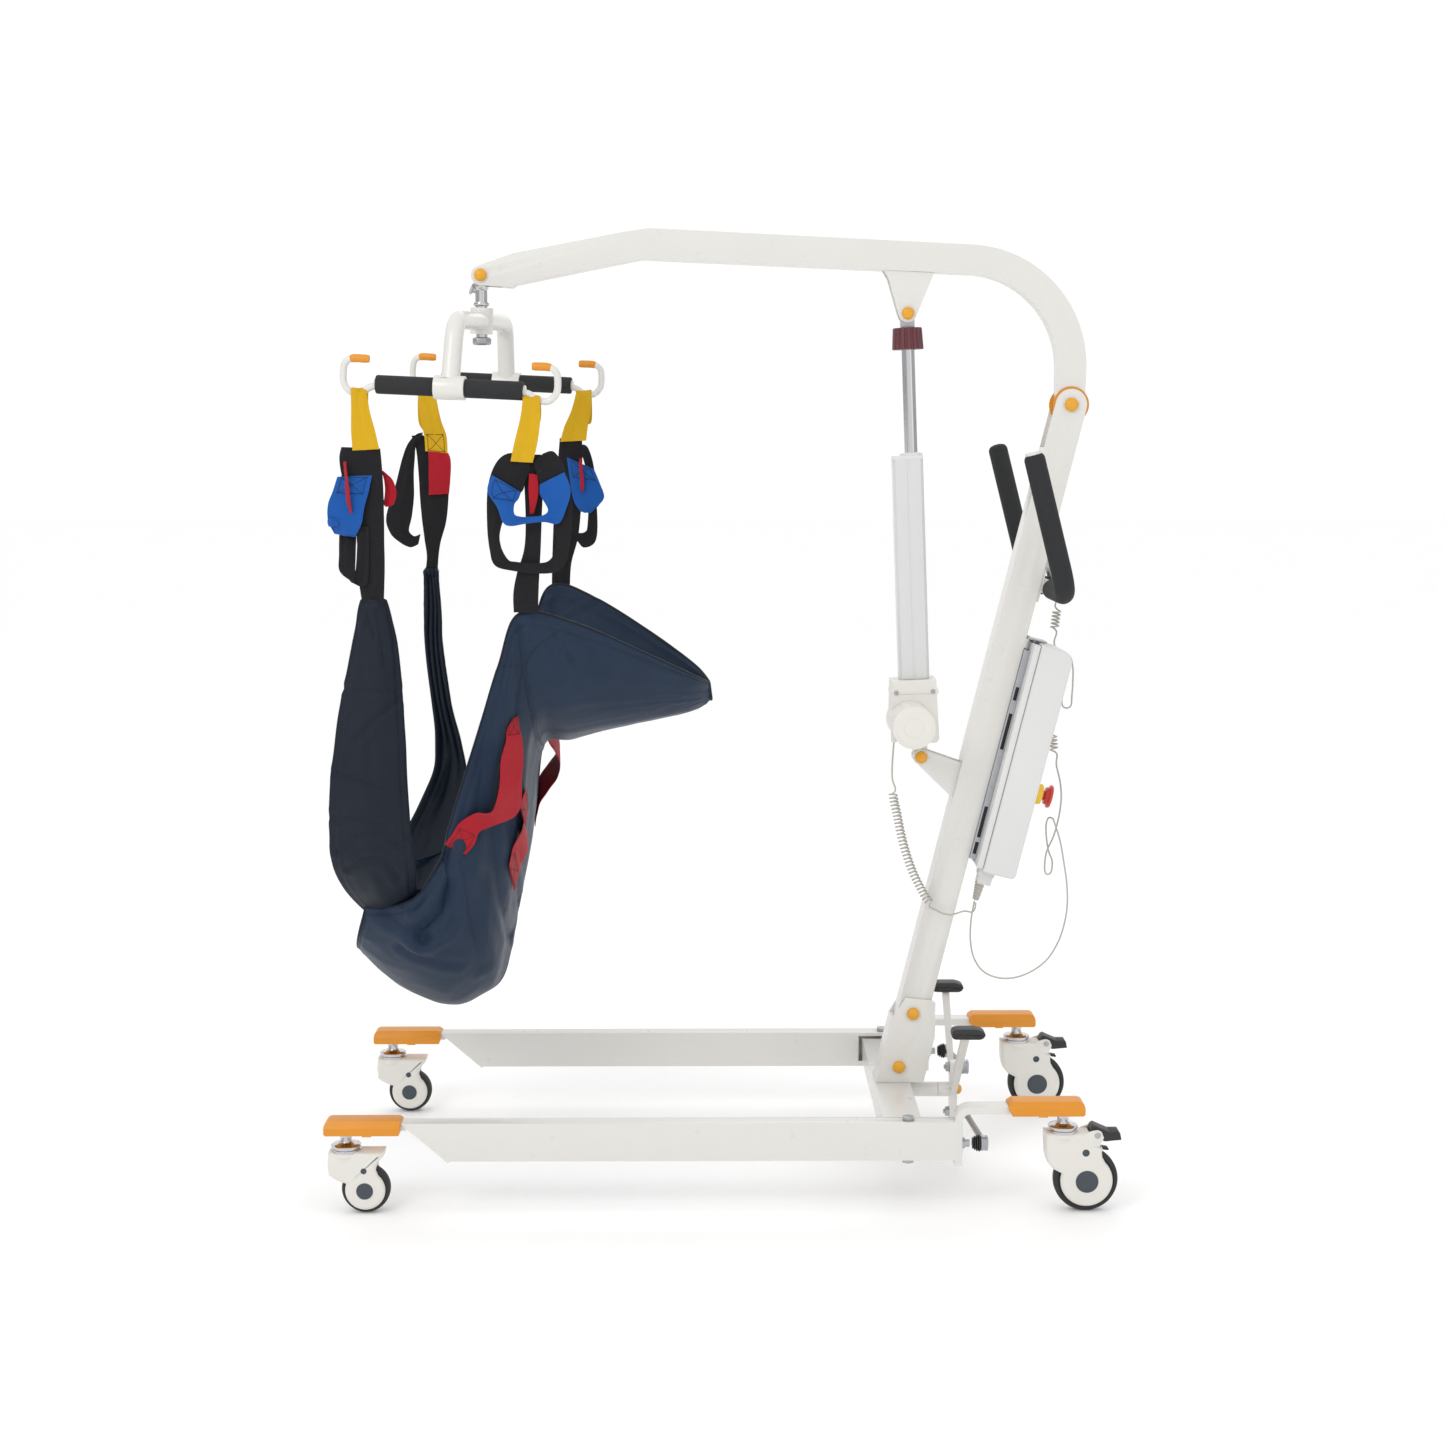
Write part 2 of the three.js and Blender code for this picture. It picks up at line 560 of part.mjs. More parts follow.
function grip(s) {
  const outer = tube(filleted(handlePath(s, HANDLE.rise + 7, s * 45), HANDLE.bend), HANDLE.foamR, 14);
  const bore = tube(filleted(handlePath(s, HANDLE.rise + 1.5, s * 30), HANDLE.bend), HANDLE.r + 0.5, 14);
  return cut(outer, bore);
}

function handset() {
  const body = box(17, 43, -29, 29, -8, 132);
  const hook = join(box(-23, 18, -9, 9, 17.5, 22), box(-23, -17.5, -9, 9, -8, 22));
  const relief = rod([30, 0, -16], [30, 0, -7], 4.5, 12);
  return join(body, hook, relief);
}

part('push_handle', pushHandle(), CREAM);
for (const { name, s } of SIDES) part(`${name}_grip`, grip(s), FOAM);
const handsetFrame = group(HANDLE.x, HANDSET_Y, HANDLE.z, Math.atan2(HANDLE_SLOPE[0], HANDLE_SLOPE[2]));
part('handset', handset(), WHITE_PLASTIC, handsetFrame);

// ---- Control box on the mast ------------------------------------------------------------------
function controlRail() {
  const { x0, half } = BOX;
  const face = MAST.half + GAP;
  const plate = box(face, face + 3, -30, 30, -745, -395);
  const flange = (s) => box(face, x0 - GAP, Math.min(s * 26, s * 30), Math.max(s * 26, s * 30), -745, -395);
  return join(plate, flange(-1), flange(1));
}

function controlBox() {
  const { x0, x1, z0, z1, half } = BOX;
  const shell = prismY([[x0, z0], [x1 - 4, z0], [x1, z0 + 4], [x1, z1 - 14], [x1 - 12, z1 - 3], [x0, z1]], -half, half);
  const socket = box(47, 75, -14, 14, z0 - 28, z0 + 1);
  const relief = rod([57, 0, z0 - 57], [57, 0, z0 - 27], 6, 16, 8.5);
  const ring = rod([x1 - 1, 0, ESTOP.z], [x1 + 16.8, 0, ESTOP.z], 17, 28);
  const well = rod([x1 - 8, 0, ESTOP.z], [x1 + 18, 0, ESTOP.z], 9);
  return cut(join(shell, socket, relief, ring), well);
}

function estopButton() {
  const x = BOX.x1;
  const stem = rod([x - 3, 0, ESTOP.z], [x + 23, 0, ESTOP.z], 8);
  const skirt = rod([x + 21.4, 0, ESTOP.z], [x + 28, 0, ESTOP.z], 13, 28, 15.5);
  const dome = rod([x + 27.4, 0, ESTOP.z], [x + 33.5, 0, ESTOP.z], 19, 28, 18);
  return join(stem, skirt, dome);
}

part('control_box_rail', controlRail(), STEEL, mast);
part('control_box', controlBox(), WHITE_PLASTIC, mast);
part('emergency_stop_button', estopButton(), RED, mast);

// ---- Boom ------------------------------------------------------------------------------------
// The boom's side outline, moved inwards by inset.
function boomOutline(inset) {
  const { depth, bendX, bendZ, bendR } = BOOM;
  const fall = Math.atan2(BOOM_KNEE.z - (bendZ + bendR), bendX - BOOM_KNEE.x);
  const outer = bendR - inset;
  const inner = bendR - depth + inset;
  const topAngle = Math.PI / 2 - fall;
  const shape = new THREE.Shape();
  const tip = BOOM_TIP;
  const r = tip.r - inset;
  shape.moveTo(tip.x, tip.z - r);
  shape.absarc(tip.x, tip.z, r, -Math.PI / 2, -1.3 * Math.PI, true);
  shape.lineTo(-372, 1459.5 - inset);
  shape.lineTo(-328, 1474.5 - inset);
  shape.lineTo(-154.9, 1507.5 - inset);
  shape.lineTo(BOOM_KNEE.x, BOOM_KNEE.z - inset);
  shape.absarc(bendX, bendZ, outer, topAngle, 0, true);
  shape.lineTo(MAST_PIVOT.x + 21.5 - inset, MAST_PIVOT.z);
  shape.absarc(MAST_PIVOT.x, MAST_PIVOT.z, 21.5 - inset, 0, -Math.PI, true);
  shape.lineTo(bendX + inner, bendZ);
  shape.absarc(bendX, bendZ, inner, 0, topAngle, false);
  shape.lineTo(-128, 1466 + inset);
  shape.lineTo(-325, 1426.5 + inset);
  shape.lineTo(-332, 1422 + inset);
  shape.closePath();
  return shape;
}

function boomBeam() {
  const { half, wall } = BOOM;
  const outer = prismY(boomOutline(0), -half, half, 10);
  const hollow = prismY(boomOutline(wall), -half + wall, half - wall, 10);
  let body = cut(outer, hollow);
  body = join(body, acrossY(MAST_PIVOT.x, MAST_PIVOT.z, 13, -half, half));
  for (const s of [-1, 1]) {
    const y0 = Math.min(s * LUG.inner, s * LUG.outer);
    const y1 = Math.max(s * LUG.inner, s * LUG.outer);
    const lug = prismY([[254, 1449], [262, 1436], [279, 1379], [307, 1379], [334, 1445]], y0, y1);
    body = join(body, lug, acrossY(PIN_TOP.x, PIN_TOP.z, 14, y0, y1));
  }
  const tipSlot = box(-404, -349, -11.6, 11.6, 1415, 1459);
  const bores = [
    acrossY(MAST_PIVOT.x, MAST_PIVOT.z, 8.4, -half - 1, half + 1),
    acrossY(BOOM_TIP.x, BOOM_TIP.z, 6.4, -half - 1, half + 1),
    acrossY(PIN_TOP.x, PIN_TOP.z, PIN_R + 0.4, -half - 1, half + 1),
  ];
  return cut(body, tipSlot, ...bores);
}

part('boom', boomBeam(), CREAM);
part('boom_tip_bolt', cappedBolt(BOOM_TIP.x, BOOM_TIP.z, 6, BOOM.half + GAP, 10), ORANGE);
part('actuator_top_pin', cappedBolt(PIN_TOP.x, PIN_TOP.z, PIN_R, LUG.outer + GAP, 10), ORANGE);

// ---- Linear actuator -------------------------------------------------------------------------
const reach = Math.hypot(PIN_TOP.x - PIN_BASE.x, PIN_TOP.z - PIN_BASE.z);
const actuator = group(PIN_BASE.x, 0, PIN_BASE.z, Math.atan2(PIN_TOP.x - PIN_BASE.x, PIN_TOP.z - PIN_BASE.z));

function actuatorGearbox() {
  const eye = acrossY(0, 0, 12, -12.6, 12.6);
  const neck = box(-11, 11, -12.6, 12.6, 2, 30);
  const housing = prismY([[-30, 26], [24, 24], [29, 30], [27, 127], [-44, 127], [-48, 60]], -30, 30);
  const motor = acrossY(-17.7, 60.2, 34, -110, 24, 36);
  const gland = rod([-45.5, -45, 30.5], [-45.5, -45, 46], 4.5, 12);
  return cut(join(eye, neck, housing, motor, gland), acrossY(0, 0, PIN_R + 0.4, -20, 20));
}

function actuatorTube() {
  const shell = box(-31, 17.7, -20, 20, 127 + GAP, 486);
  const bore = box(-28.5, 15.6, -17.5, 17.5, 140, 487);
  return cut(shell, bore);
}

function actuatorRod() {
  const eye = acrossY(0, reach, 11, -12.6, 12.6);
  const neck = rod([0, 0, reach - 23], [0, 0, reach - 4], 9);
  const bar = rod([0, 0, 290], [0, 0, reach - 20], ROD_R);
  return cut(join(eye, neck, bar), acrossY(0, reach, PIN_R + 0.4, -20, 20));
}

function releaseCollar() {
  const top = reach - 22;
  const ring = join(
    rod([0, 0, top - 8], [0, 0, top], 25, 32),
    rod([0, 0, top - 34], [0, 0, top - 7], 23.5, 32),
  );
  return cut(ring, rod([0, 0, top - 36], [0, 0, top + 2], ROD_R + GAP + 0.2, 24));
}

part('actuator_gearbox', actuatorGearbox(), CREAM_PLASTIC, actuator);
part('actuator_tube', actuatorTube(), WHITE_PLASTIC, actuator);
part('actuator_rod', actuatorRod(), CHROME, actuator);
part('release_collar', releaseCollar(), MAROON, actuator);

// ---- Hanger and cradle -----------------------------------------------------------------------
function hangerPin() {
  const { x, z } = BOOM_TIP;
  const eye = acrossY(x, z, 11, -11.2, 11.2);
  const stem = rod([HUB.x, 0, 1335], [HUB.x, 0, z], 9);
  const collar = rod([HUB.x, 0, 1394], [HUB.x, 0, 1399], 12);
  const nut = rod([HUB.x, 0, 1333], [HUB.x, 0, 1345], 15, 6);
  const button = rod([x - 8, 0, 1417], [x - 19, 0, 1422], 9, 20);
  return cut(join(eye, stem, collar, nut, button), acrossY(x, z, 6.4, -15, 15));
}

const cradle = group(HUB.x, 0, HUB.z);
const radians = THREE.MathUtils.degToRad;
cradle.rotation.set(radians(CRADLE_TURN.roll), radians(CRADLE_TURN.pitch), radians(CRADLE_TURN.yaw), 'ZYX');

function cradleYoke() {
  const { half, barZ, shoulder, yokeR, sleeve, foamR } = CRADLE;
  const path = filleted(
    [V(0, -half, barZ), V(0, -shoulder, 0), V(0, shoulder, 0), V(0, half, barZ)],
    32,
  );
  const hub = rod([0, 0, -20], [0, 0, 21], 18);
  let body = join(tube(path, yokeR, 14), hub);
  for (const s of [-1, 1]) body = join(body, rod([-sleeve, s * half, barZ], [sleeve, s * half, barZ], foamR + 4));
  const bores = [-1, 1].map((s) => rod([-sleeve - 1, s * half, barZ], [sleeve + 1, s * half, barZ], 9));
  return cut(body, rod([0, 0, -24], [0, 0, 24], 11.5), ...bores);
}

function hookPath(d, s) {
  const { bar, half, barZ } = CRADLE;
  const along = [[-14, 0], [8, -4], [22, -12], [38, -13], [49, -2], [51, 14], [48, 30], [40, 36], [12, 37]];
  return new THREE.CatmullRomCurve3(along.map(([x, z]) => V(d * (bar + x), s * half, barZ + z))).getPoints(16);
}

function cradleBar(s) {
  const { bar, half, barZ, foamR, sleeve } = CRADLE;
  let body = rod([-bar, s * half, barZ], [bar, s * half, barZ], 8.5, 16);
  for (const d of [-1, 1]) {
    body = join(body, rod([d * (sleeve + GAP), s * half, barZ], [d * bar, s * half, barZ], foamR));
    body = join(body, tube(hookPath(d, s), HOOK_R, 10));
  }
  return body;
}

part('hanger_pin', hangerPin(), CHROME);
part('cradle_yoke', cradleYoke(), CREAM, cradle);
for (const { name, s } of SIDES) part(`cradle_bar_${name}`, cradleBar(s), FOAM, cradle);

// ---- Sling -----------------------------------------------------------------------------------
// Lowest point of each hook, where its strap hangs.
function hookSeat(d, s) {
  const { bar, half, barZ } = CRADLE;
  cradle.updateMatrixWorld(true);
  return V(d * (bar + 32), s * half, barZ - 13 - HOOK_R - 1.8).applyMatrix4(cradle.matrixWorld);
}

// A strap with its bundle of spare loops. Stations are [left x, right x, z, half thickness]; the strap
// leans from the hook's y to the cloth's.
function strap(d, s, stations, endY) {
  const seat = hookSeat(d, s);
  const [first] = stations;
  const end = stations[stations.length - 1];
  const top = [seat.x + (first[1] - first[0]) * -0.5, seat.x + (first[1] - first[0]) * 0.5, seat.z, first[3]];
  const y = (z) => seat.y + (endY - seat.y) * (seat.z - z) / (seat.z - end[2]);
  return strip([top, ...stations.slice(1)].map(([x0, x1, z, t]) => [(x0 + x1) / 2, y(z), z, (x1 - x0) / 2, t]));
}

// The sling's body hangs as a trough: near edge, spine and far edge, from the seat's front to the head.
const SLING_NEAR = [
  [-560, 455], [-517, 460], [-477, 479], [-450, 515], [-429, 564], [-408, 634], [-373, 743],
  [-341, 843], [-309, 922], [-228, 905], [-127, 855], [-50, 812], [-22, 794],
];
const SLING_SPINE = [
  [-590, 363], [-548, 318], [-500, 286], [-440, 266], [-395, 280], [-362, 310], [-343, 400],
  [-315, 540], [-292, 690], [-240, 705], [-134, 729], [-52, 752], [-18, 766],
];
const SLING_HALF = [150, 170, 190, 200, 205, 208, 210, 212, 212, 180, 122, 56, 12];
const SLING_THICK = 9;

function troughPoint(u, v) {
  const last = SLING_HALF.length - 1;
  const i = Math.min(Math.floor(u * last), last - 1);
  const t = u * last - i;
  const mix = (list) => THREE.MathUtils.lerp(list[i], list[i + 1], t);
  const pair = (list, k) => THREE.MathUtils.lerp(list[i][k], list[i + 1][k], t);
  const rise = 1 - Math.cos(Math.abs(v) * Math.PI / 2);
  const tilt = v > 0 ? rise * Math.min(1, (1 - u) / 0.3) : 0;
  return V(
    THREE.MathUtils.lerp(pair(SLING_SPINE, 0), pair(SLING_NEAR, 0) + 18 * tilt, rise),
    mix(SLING_HALF) * Math.sin(v * Math.PI / 2),
    THREE.MathUtils.lerp(pair(SLING_SPINE, 1), pair(SLING_NEAR, 1) + 14 * tilt, rise),
  );
}

function slingBody() {
  const along = 24;
  const across = 12;
  const rings = [];
  for (let i = 0; i <= along; i += 1) {
    const u = i / along;
    const inside = [];
    const outside = [];
    for (let j = 0; j <= across; j += 1) {
      const v = (2 * j) / across - 1;
      const point = troughPoint(u, v);
      const du = troughPoint(Math.min(u + 0.02, 1), v).sub(troughPoint(Math.max(u - 0.02, 0), v));
      const dv = troughPoint(u, Math.min(v + 0.05, 1)).sub(troughPoint(u, Math.max(v - 0.05, -1)));
      const normal = du.cross(dv).normalize().multiplyScalar(SLING_THICK / 2);
      inside.push(point.clone().add(normal).toArray());
      outside.push(point.clone().sub(normal).toArray());
    }
    rings.push([...inside, ...outside.reverse()]);
  }
  return loft(rings);
}

const NEAR_FLAP = [
  [-526, -243, 943.5, 17, 4], [-525, -242, 875, 32, 6], [-529, -240, 800, 44, 6], [-534, -238, 699, 56, 6],
  [-537, -236, 597, 62, 6], [-535, -232, 530, 64, 6], [-521, -226, 478, 46, 6],
];
const FAR_FLAP = [
  [-497, 232, 962, 10, 4], [-494, 233, 842, 11, 7], [-482, 234, 738, 14, 7], [-470, 234, 620, 24, 6],
  [-492, 230, 535, 42, 6], [-510, 224, 490, 40, 6],
];

part('sling_body', slingBody(), NAVY);
part('sling_leg_flap_near', strip(NEAR_FLAP), NAVY);
part('sling_leg_flap_far', strip(FAR_FLAP), NAVY);
const LEG_NEAR_STRAP = [
  [-557, -532, 1250, 4], [-556, -519, 1190, 5], [-574, -513, 1165, 11], [-581, -505, 1120, 12], [-589, -507, 1066, 12],
  [-575, -508, 1010, 10], [-570, -508, 985, 7], [-549, -508, 972, 4], [-542, -510, 945, 4],
];
const LEG_FAR_STRAP = [
  [-517, -486, 1250, 4], [-518, -470, 1190, 8], [-524, -460, 1150, 11], [-550, -463, 1095, 12], [-570, -475, 1050, 12],
  [-560, -487, 1015, 8], [-507, -486, 975, 4], [-506, -486, 964, 4],
];
const SHOULDER_NEAR_STRAP = [
  [-298, -271, 1240, 4], [-312, -275, 1185, 5], [-332, -248, 1155, 11], [-351, -229, 1105, 12], [-352, -230, 1020, 12],
  [-345, -240, 998, 8], [-317, -280, 984, 4], [-316, -280, 932, 4],
];
const SHOULDER_FAR_STRAP = [
  [-246, -220, 1250, 4], [-273, -226, 1180, 8], [-280, -213, 1137, 11], [-285, -197, 1065, 12], [-288, -211, 1005, 12],
  [-290, -240, 975, 7], [-290, -259, 947, 4],
];
part('sling_strap_leg_near', strap(-1, -1, LEG_NEAR_STRAP, -243), YELLOW);
part('sling_strap_leg_far', strap(-1, 1, LEG_FAR_STRAP, 232), YELLOW);
part('sling_strap_shoulder_near', strap(1, -1, SHOULDER_NEAR_STRAP, -222), YELLOW);
part('sling_strap_shoulder_far', strap(1, 1, SHOULDER_FAR_STRAP, 222), YELLOW);

// ---- Cords -----------------------------------------------------------------------------------
const CORD_R = 2;
const CURL_R = 6.5;
const ACTUATOR_CORD = {
  upper: [[275.5, -45, 701.5], [274.5, -45, 690], [273.5, -45, 672], [273, -45, 655], [273, -45, 640]],
  curl: [
    [273, -45, 635], [276, -45, 610], [282, -45, 583], [287, -45, 558], [293, -45, 534], [301, -45, 508],
    [310, -45, 485], [320, -44.5, 465], [330, -44, 447], [341, -43.5, 433], [353, -43, 423],
  ],
  lower: [
    [353.4, -43, 422.7], [362, -42.5, 419], [371, -41, 418], [382, -38, 420], [392, -33, 422], [401, -26, 421],
    [408, -18, 418], [413, -11, 418], [415, -7.5, 423], [415.6, -6, 431],
  ],
};
const HANDSET_CORD = {
  lower: [
    [414.8, 4.5, 431], [413, 6, 420], [411, 8, 405], [409.5, 9, 385], [410, 10, 362], [416, 10, 334],
    [431, 10, 312], [454, 10, 301], [480, 10, 300], [507, 9, 309], [534, 7, 329], [552, 4, 358], [562, 0, 390],
    [566, -6, 425], [564, -10, 462], [558, -12, 499], [551, -12, 535], [544, -9, 561], [537, -3, 570],
    [532, 5, 559], [532, 11, 538], [537, 14, 512], [543, 15, 490], [541, 12, 477], [533, 7, 474], [529, 4, 486],
    [532, 3, 508], [543, 3, 540], [552, 6, 575], [556, 14, 602], [556, 30, 626], [553, 46, 646], [551, 54, 657],
  ],
  lowerCurl: [[551, 54.8, 658.8], [549.5, 58, 675], [548, 61.5, 693], [546.5, 64, 711]],
  middle: [
    [546.4, 64, 712], [547, 65, 730], [549, 66, 755], [553, 67, 785], [558, 68.5, 812], [566, 70, 829],
    [575, 71, 828], [580, 72, 812], [581, 73, 785], [580, 74, 758], [576, 75, 742], [569, 76, 740],
    [565, 77, 753], [565, 77, 780], [563, 77, 808], [557, 76, 832], [550, 75.3, 847], [548, 75, 859],
  ],
  upperCurl: [[548, 75, 859.5], [549.5, 75, 878], [552, 75, 900], [554.5, 75, 920], [556.2, 75, 936.5]],
};

function cordAlong(points, r, stepLength, sides = 8) {
  const path = new THREE.CatmullRomCurve3(points.map(([x, y, z]) => V(x, y, z)), false, 'centripetal');
  return tube(path.getSpacedPoints(Math.ceil(path.getLength() / stepLength)), r, sides);
}

part('actuator_cord_upper', cordAlong(ACTUATOR_CORD.upper, CORD_R, 10), GREY_CORD);
part('actuator_cord_curl', cordAlong(ACTUATOR_CORD.curl, CURL_R, 18, 10), GREY_CORD);
part('actuator_cord_lower', cordAlong(ACTUATOR_CORD.lower, CORD_R, 8), GREY_CORD);
part('handset_cord_lower', cordAlong(HANDSET_CORD.lower, CORD_R, 12), GREY_CORD);
part('handset_cord_lower_curl', cordAlong(HANDSET_CORD.lowerCurl, CURL_R, 18, 10), GREY_CORD);
part('handset_cord_middle', cordAlong(HANDSET_CORD.middle, CORD_R, 9), GREY_CORD);
part('handset_cord_upper_curl', cordAlong(HANDSET_CORD.upperCurl, CURL_R, 18, 10), GREY_CORD);

export default hoist;
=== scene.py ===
"""Looks of the patient lift hoist: materials, detailed pieces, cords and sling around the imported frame.

Shapes are worked out in millimetres in the row frame (+Z up, +X to the carer's end, +Y to the far leg)
and turned into metres when a mesh is made.
"""
import math

import bmesh
import bpy
import numpy as np
from mathutils import Matrix, Vector, noise
from mathutils.kdtree import KDTree


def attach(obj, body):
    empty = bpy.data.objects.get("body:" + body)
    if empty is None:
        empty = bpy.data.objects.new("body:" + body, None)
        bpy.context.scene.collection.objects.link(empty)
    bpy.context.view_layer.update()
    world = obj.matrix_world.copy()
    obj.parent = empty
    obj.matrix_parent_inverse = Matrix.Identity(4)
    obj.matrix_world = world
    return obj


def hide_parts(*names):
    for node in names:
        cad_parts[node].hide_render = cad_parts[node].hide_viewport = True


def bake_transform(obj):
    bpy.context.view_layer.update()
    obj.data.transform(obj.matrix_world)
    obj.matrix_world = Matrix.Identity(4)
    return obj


MM = 0.001
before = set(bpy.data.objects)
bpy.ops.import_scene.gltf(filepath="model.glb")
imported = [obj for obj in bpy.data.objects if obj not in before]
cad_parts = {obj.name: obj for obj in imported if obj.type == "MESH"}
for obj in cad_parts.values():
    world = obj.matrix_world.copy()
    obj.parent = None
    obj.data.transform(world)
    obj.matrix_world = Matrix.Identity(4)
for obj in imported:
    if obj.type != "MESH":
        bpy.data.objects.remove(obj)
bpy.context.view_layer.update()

# ---- Places shared with the CAD model (mm) --------------------------------------------------
SIDES = (("near", -1), ("far", 1))
TRACK = 258.5
MAST_PIVOT = Vector((553.4, 0, 1238.9))
MAST_LEAN = math.radians(13.7)
PIN_BASE = Vector((322.2, 0, 673.6))
PIN_TOP = Vector((293, 0, 1381.8))
BOOM_TIP = Vector((-380.4, 0, 1440.7))
HUB = Vector((-381.5, 0, 1370))
CRADLE_TURN = (2.3, 2.7, -5.2)
CRADLE_BAR, CRADLE_HALF, CRADLE_BAR_Z = 111, 233.5, -100
HANDLE = Vector((524, 0, 948))
HANDLE_SLOPE = Vector((-0.25, 0, 0.968)).normalized()
HANDSET_Y = 75
BOX_X0, BOX_X1, BOX_Z0, BOX_Z1, BOX_HALF = 36, 101, -758, -378, 60
ESTOP_Z = -619.8
PEDAL_AXIS_Z, PEDAL_STUD, TIE_X = 114, 38, 401
FRONT_CASTER = {"stem": -582, "trail": 30, "r": 37.5, "race": 98, "top": 130.7, "cover": 31}
REAR_CASTER = {"stem": 524, "trail": 36, "r": 50, "race": 126, "top": 155.7, "cover": 40.5}

# Frames of the tilted groups, from their own millimetres to the row's millimetres.
ROW = Matrix.Identity(4)
MAST = Matrix.Translation(MAST_PIVOT) @ Matrix.Rotation(MAST_LEAN, 4, "Y")
ACTUATOR_LENGTH = (PIN_TOP - PIN_BASE).length
ACTUATOR_LEAN = math.atan2(PIN_TOP.x - PIN_BASE.x, PIN_TOP.z - PIN_BASE.z)
ACTUATOR = Matrix.Translation(PIN_BASE) @ Matrix.Rotation(ACTUATOR_LEAN, 4, "Y")
HANDSET_LEAN = math.atan2(HANDLE_SLOPE.x, HANDLE_SLOPE.z)
HANDSET = (Matrix.Translation(HANDLE + Vector((0, HANDSET_Y, 0))) @ Matrix.Rotation(HANDSET_LEAN, 4, "Y"))
CRADLE = (
    Matrix.Translation(HUB)
    @ Matrix.Rotation(math.radians(CRADLE_TURN[2]), 4, "Z")
    @ Matrix.Rotation(math.radians(CRADLE_TURN[1]), 4, "Y")
    @ Matrix.Rotation(math.radians(CRADLE_TURN[0]), 4, "X")
)


def at(x, y, z):
    return Matrix.Translation((x, y, z))


# ---- Camera, light, floor (metres) ------------------------------------------------------------
LENS, SENSOR = 55.0, 36.0
CAMERA_PLACE = (-0.026, -3.556, 1.188)
CAMERA_DOWN, CAMERA_TURN = 7.369, -0.4247
# Each light: its place, what it looks at, its two sides, its power.
LIGHTS = {
    "key": ((-1.9, -2.6, 2.9), (0, 0, 0.7), (1.4, 1.4), 26),
    "fill": ((2.4, -2.4, 1.7), (0.1, 0, 0.7), (1.2, 2.0), 5),
    "rim": ((0.6, 2.4, 2.6), (0, 0, 0.8), (2.2, 1.2), 9),
}
SKY_STRENGTH = 1.03
FLOOR_HALF, FLOOR_DROP = 30.0, 0.0005


def add_camera():
    data = bpy.data.cameras.new("camera")
    data.lens = LENS
    data.sensor_width = SENSOR
    camera = bpy.data.objects.new("camera", data)
    camera.location = CAMERA_PLACE
    camera.rotation_euler = (math.radians(90 - CAMERA_DOWN), 0, math.radians(CAMERA_TURN))
    bpy.context.collection.objects.link(camera)
    bpy.context.scene.camera = camera


def add_area_light(name, place, target, size, power):
    data = bpy.data.lights.new(name, "AREA")
    data.shape = "RECTANGLE"
    data.size, data.size_y = size
    data.energy = power
    light = bpy.data.objects.new(name, data)
    light.location = place
    direction = Vector(target) - Vector(place)
    light.rotation_euler = direction.to_track_quat("-Z", "Y").to_euler()
    bpy.context.collection.objects.link(light)


def add_floor():
    mesh = bpy.data.meshes.new("floor")
    corners = [(-1, -1), (1, -1), (1, 1), (-1, 1)]
    mesh.from_pydata([(x * FLOOR_HALF, y * FLOOR_HALF, -FLOOR_DROP) for x, y in corners], [], [(0, 1, 2, 3)])
    link("floor", mesh, FLOOR)


def add_studio():
    """A white room that is darker at both sides, so that white parts have an edge."""
    world = bpy.data.worlds.new("studio")
    world.use_nodes = True
    background = world.node_tree.nodes["Background"]
    background.inputs["Color"].default_value = (1.0, 1.0, 1.0, 1)
    tree = world.node_tree
    smoothly = {"interpolation_type": "SMOOTHSTEP"}
    place = add_node(tree, "ShaderNodeTexCoord")
    parts = add_node(tree, "ShaderNodeSeparateXYZ")
    wire(tree, place, "Generated", parts, "Vector")
    sideways = add_node(tree, "ShaderNodeMath", operation="ABSOLUTE")
    wire(tree, parts, "X", sideways, 0)
    flag = add_node(tree, "ShaderNodeMapRange", {1: 0.42, 2: 0.72, 3: 0.0, 4: 0.46}, **smoothly)
    wire(tree, sideways, 0, flag, 0)
    low = add_node(tree, "ShaderNodeMapRange", {1: 0.2, 2: 0.62, 3: 1.0, 4: 0.0}, **smoothly)
    wire(tree, parts, "Z", low, 0)
    dim = add_node(tree, "ShaderNodeMath", operation="MULTIPLY")
    wire(tree, flag, 0, dim, 0)
    wire(tree, low, 0, dim, 1)
    strength = add_node(tree, "ShaderNodeMath", operation="SUBTRACT")
    strength.inputs[0].default_value = SKY_STRENGTH
    wire(tree, dim, 0, strength, 1)
    wire(tree, strength, 0, background, "Strength")
    bpy.context.scene.world = world
    bpy.context.scene.view_settings.view_transform = "Standard"
    for name, settings in LIGHTS.items():
        add_area_light(name, *settings)


# ---- Materials ----------------------------------------------------------------------------------
def srgb(r, g, b):
    """A colour given as 0-255 screen values, as linear light."""
    return tuple(((c / 255 + 0.055) / 1.055) ** 2.4 if c > 10 else c / 255 / 12.92 for c in (r, g, b)) + (1,)


def add_node(tree, kind, inputs=None, **settings):
    made = tree.nodes.new(kind)
    for key, value in settings.items():
        setattr(made, key, value)
    for key, value in (inputs or {}).items():
        made.inputs[key].default_value = value
    return made


def wire(tree, source, output, target, socket):
    tree.links.new(source.outputs[output], target.inputs[socket])


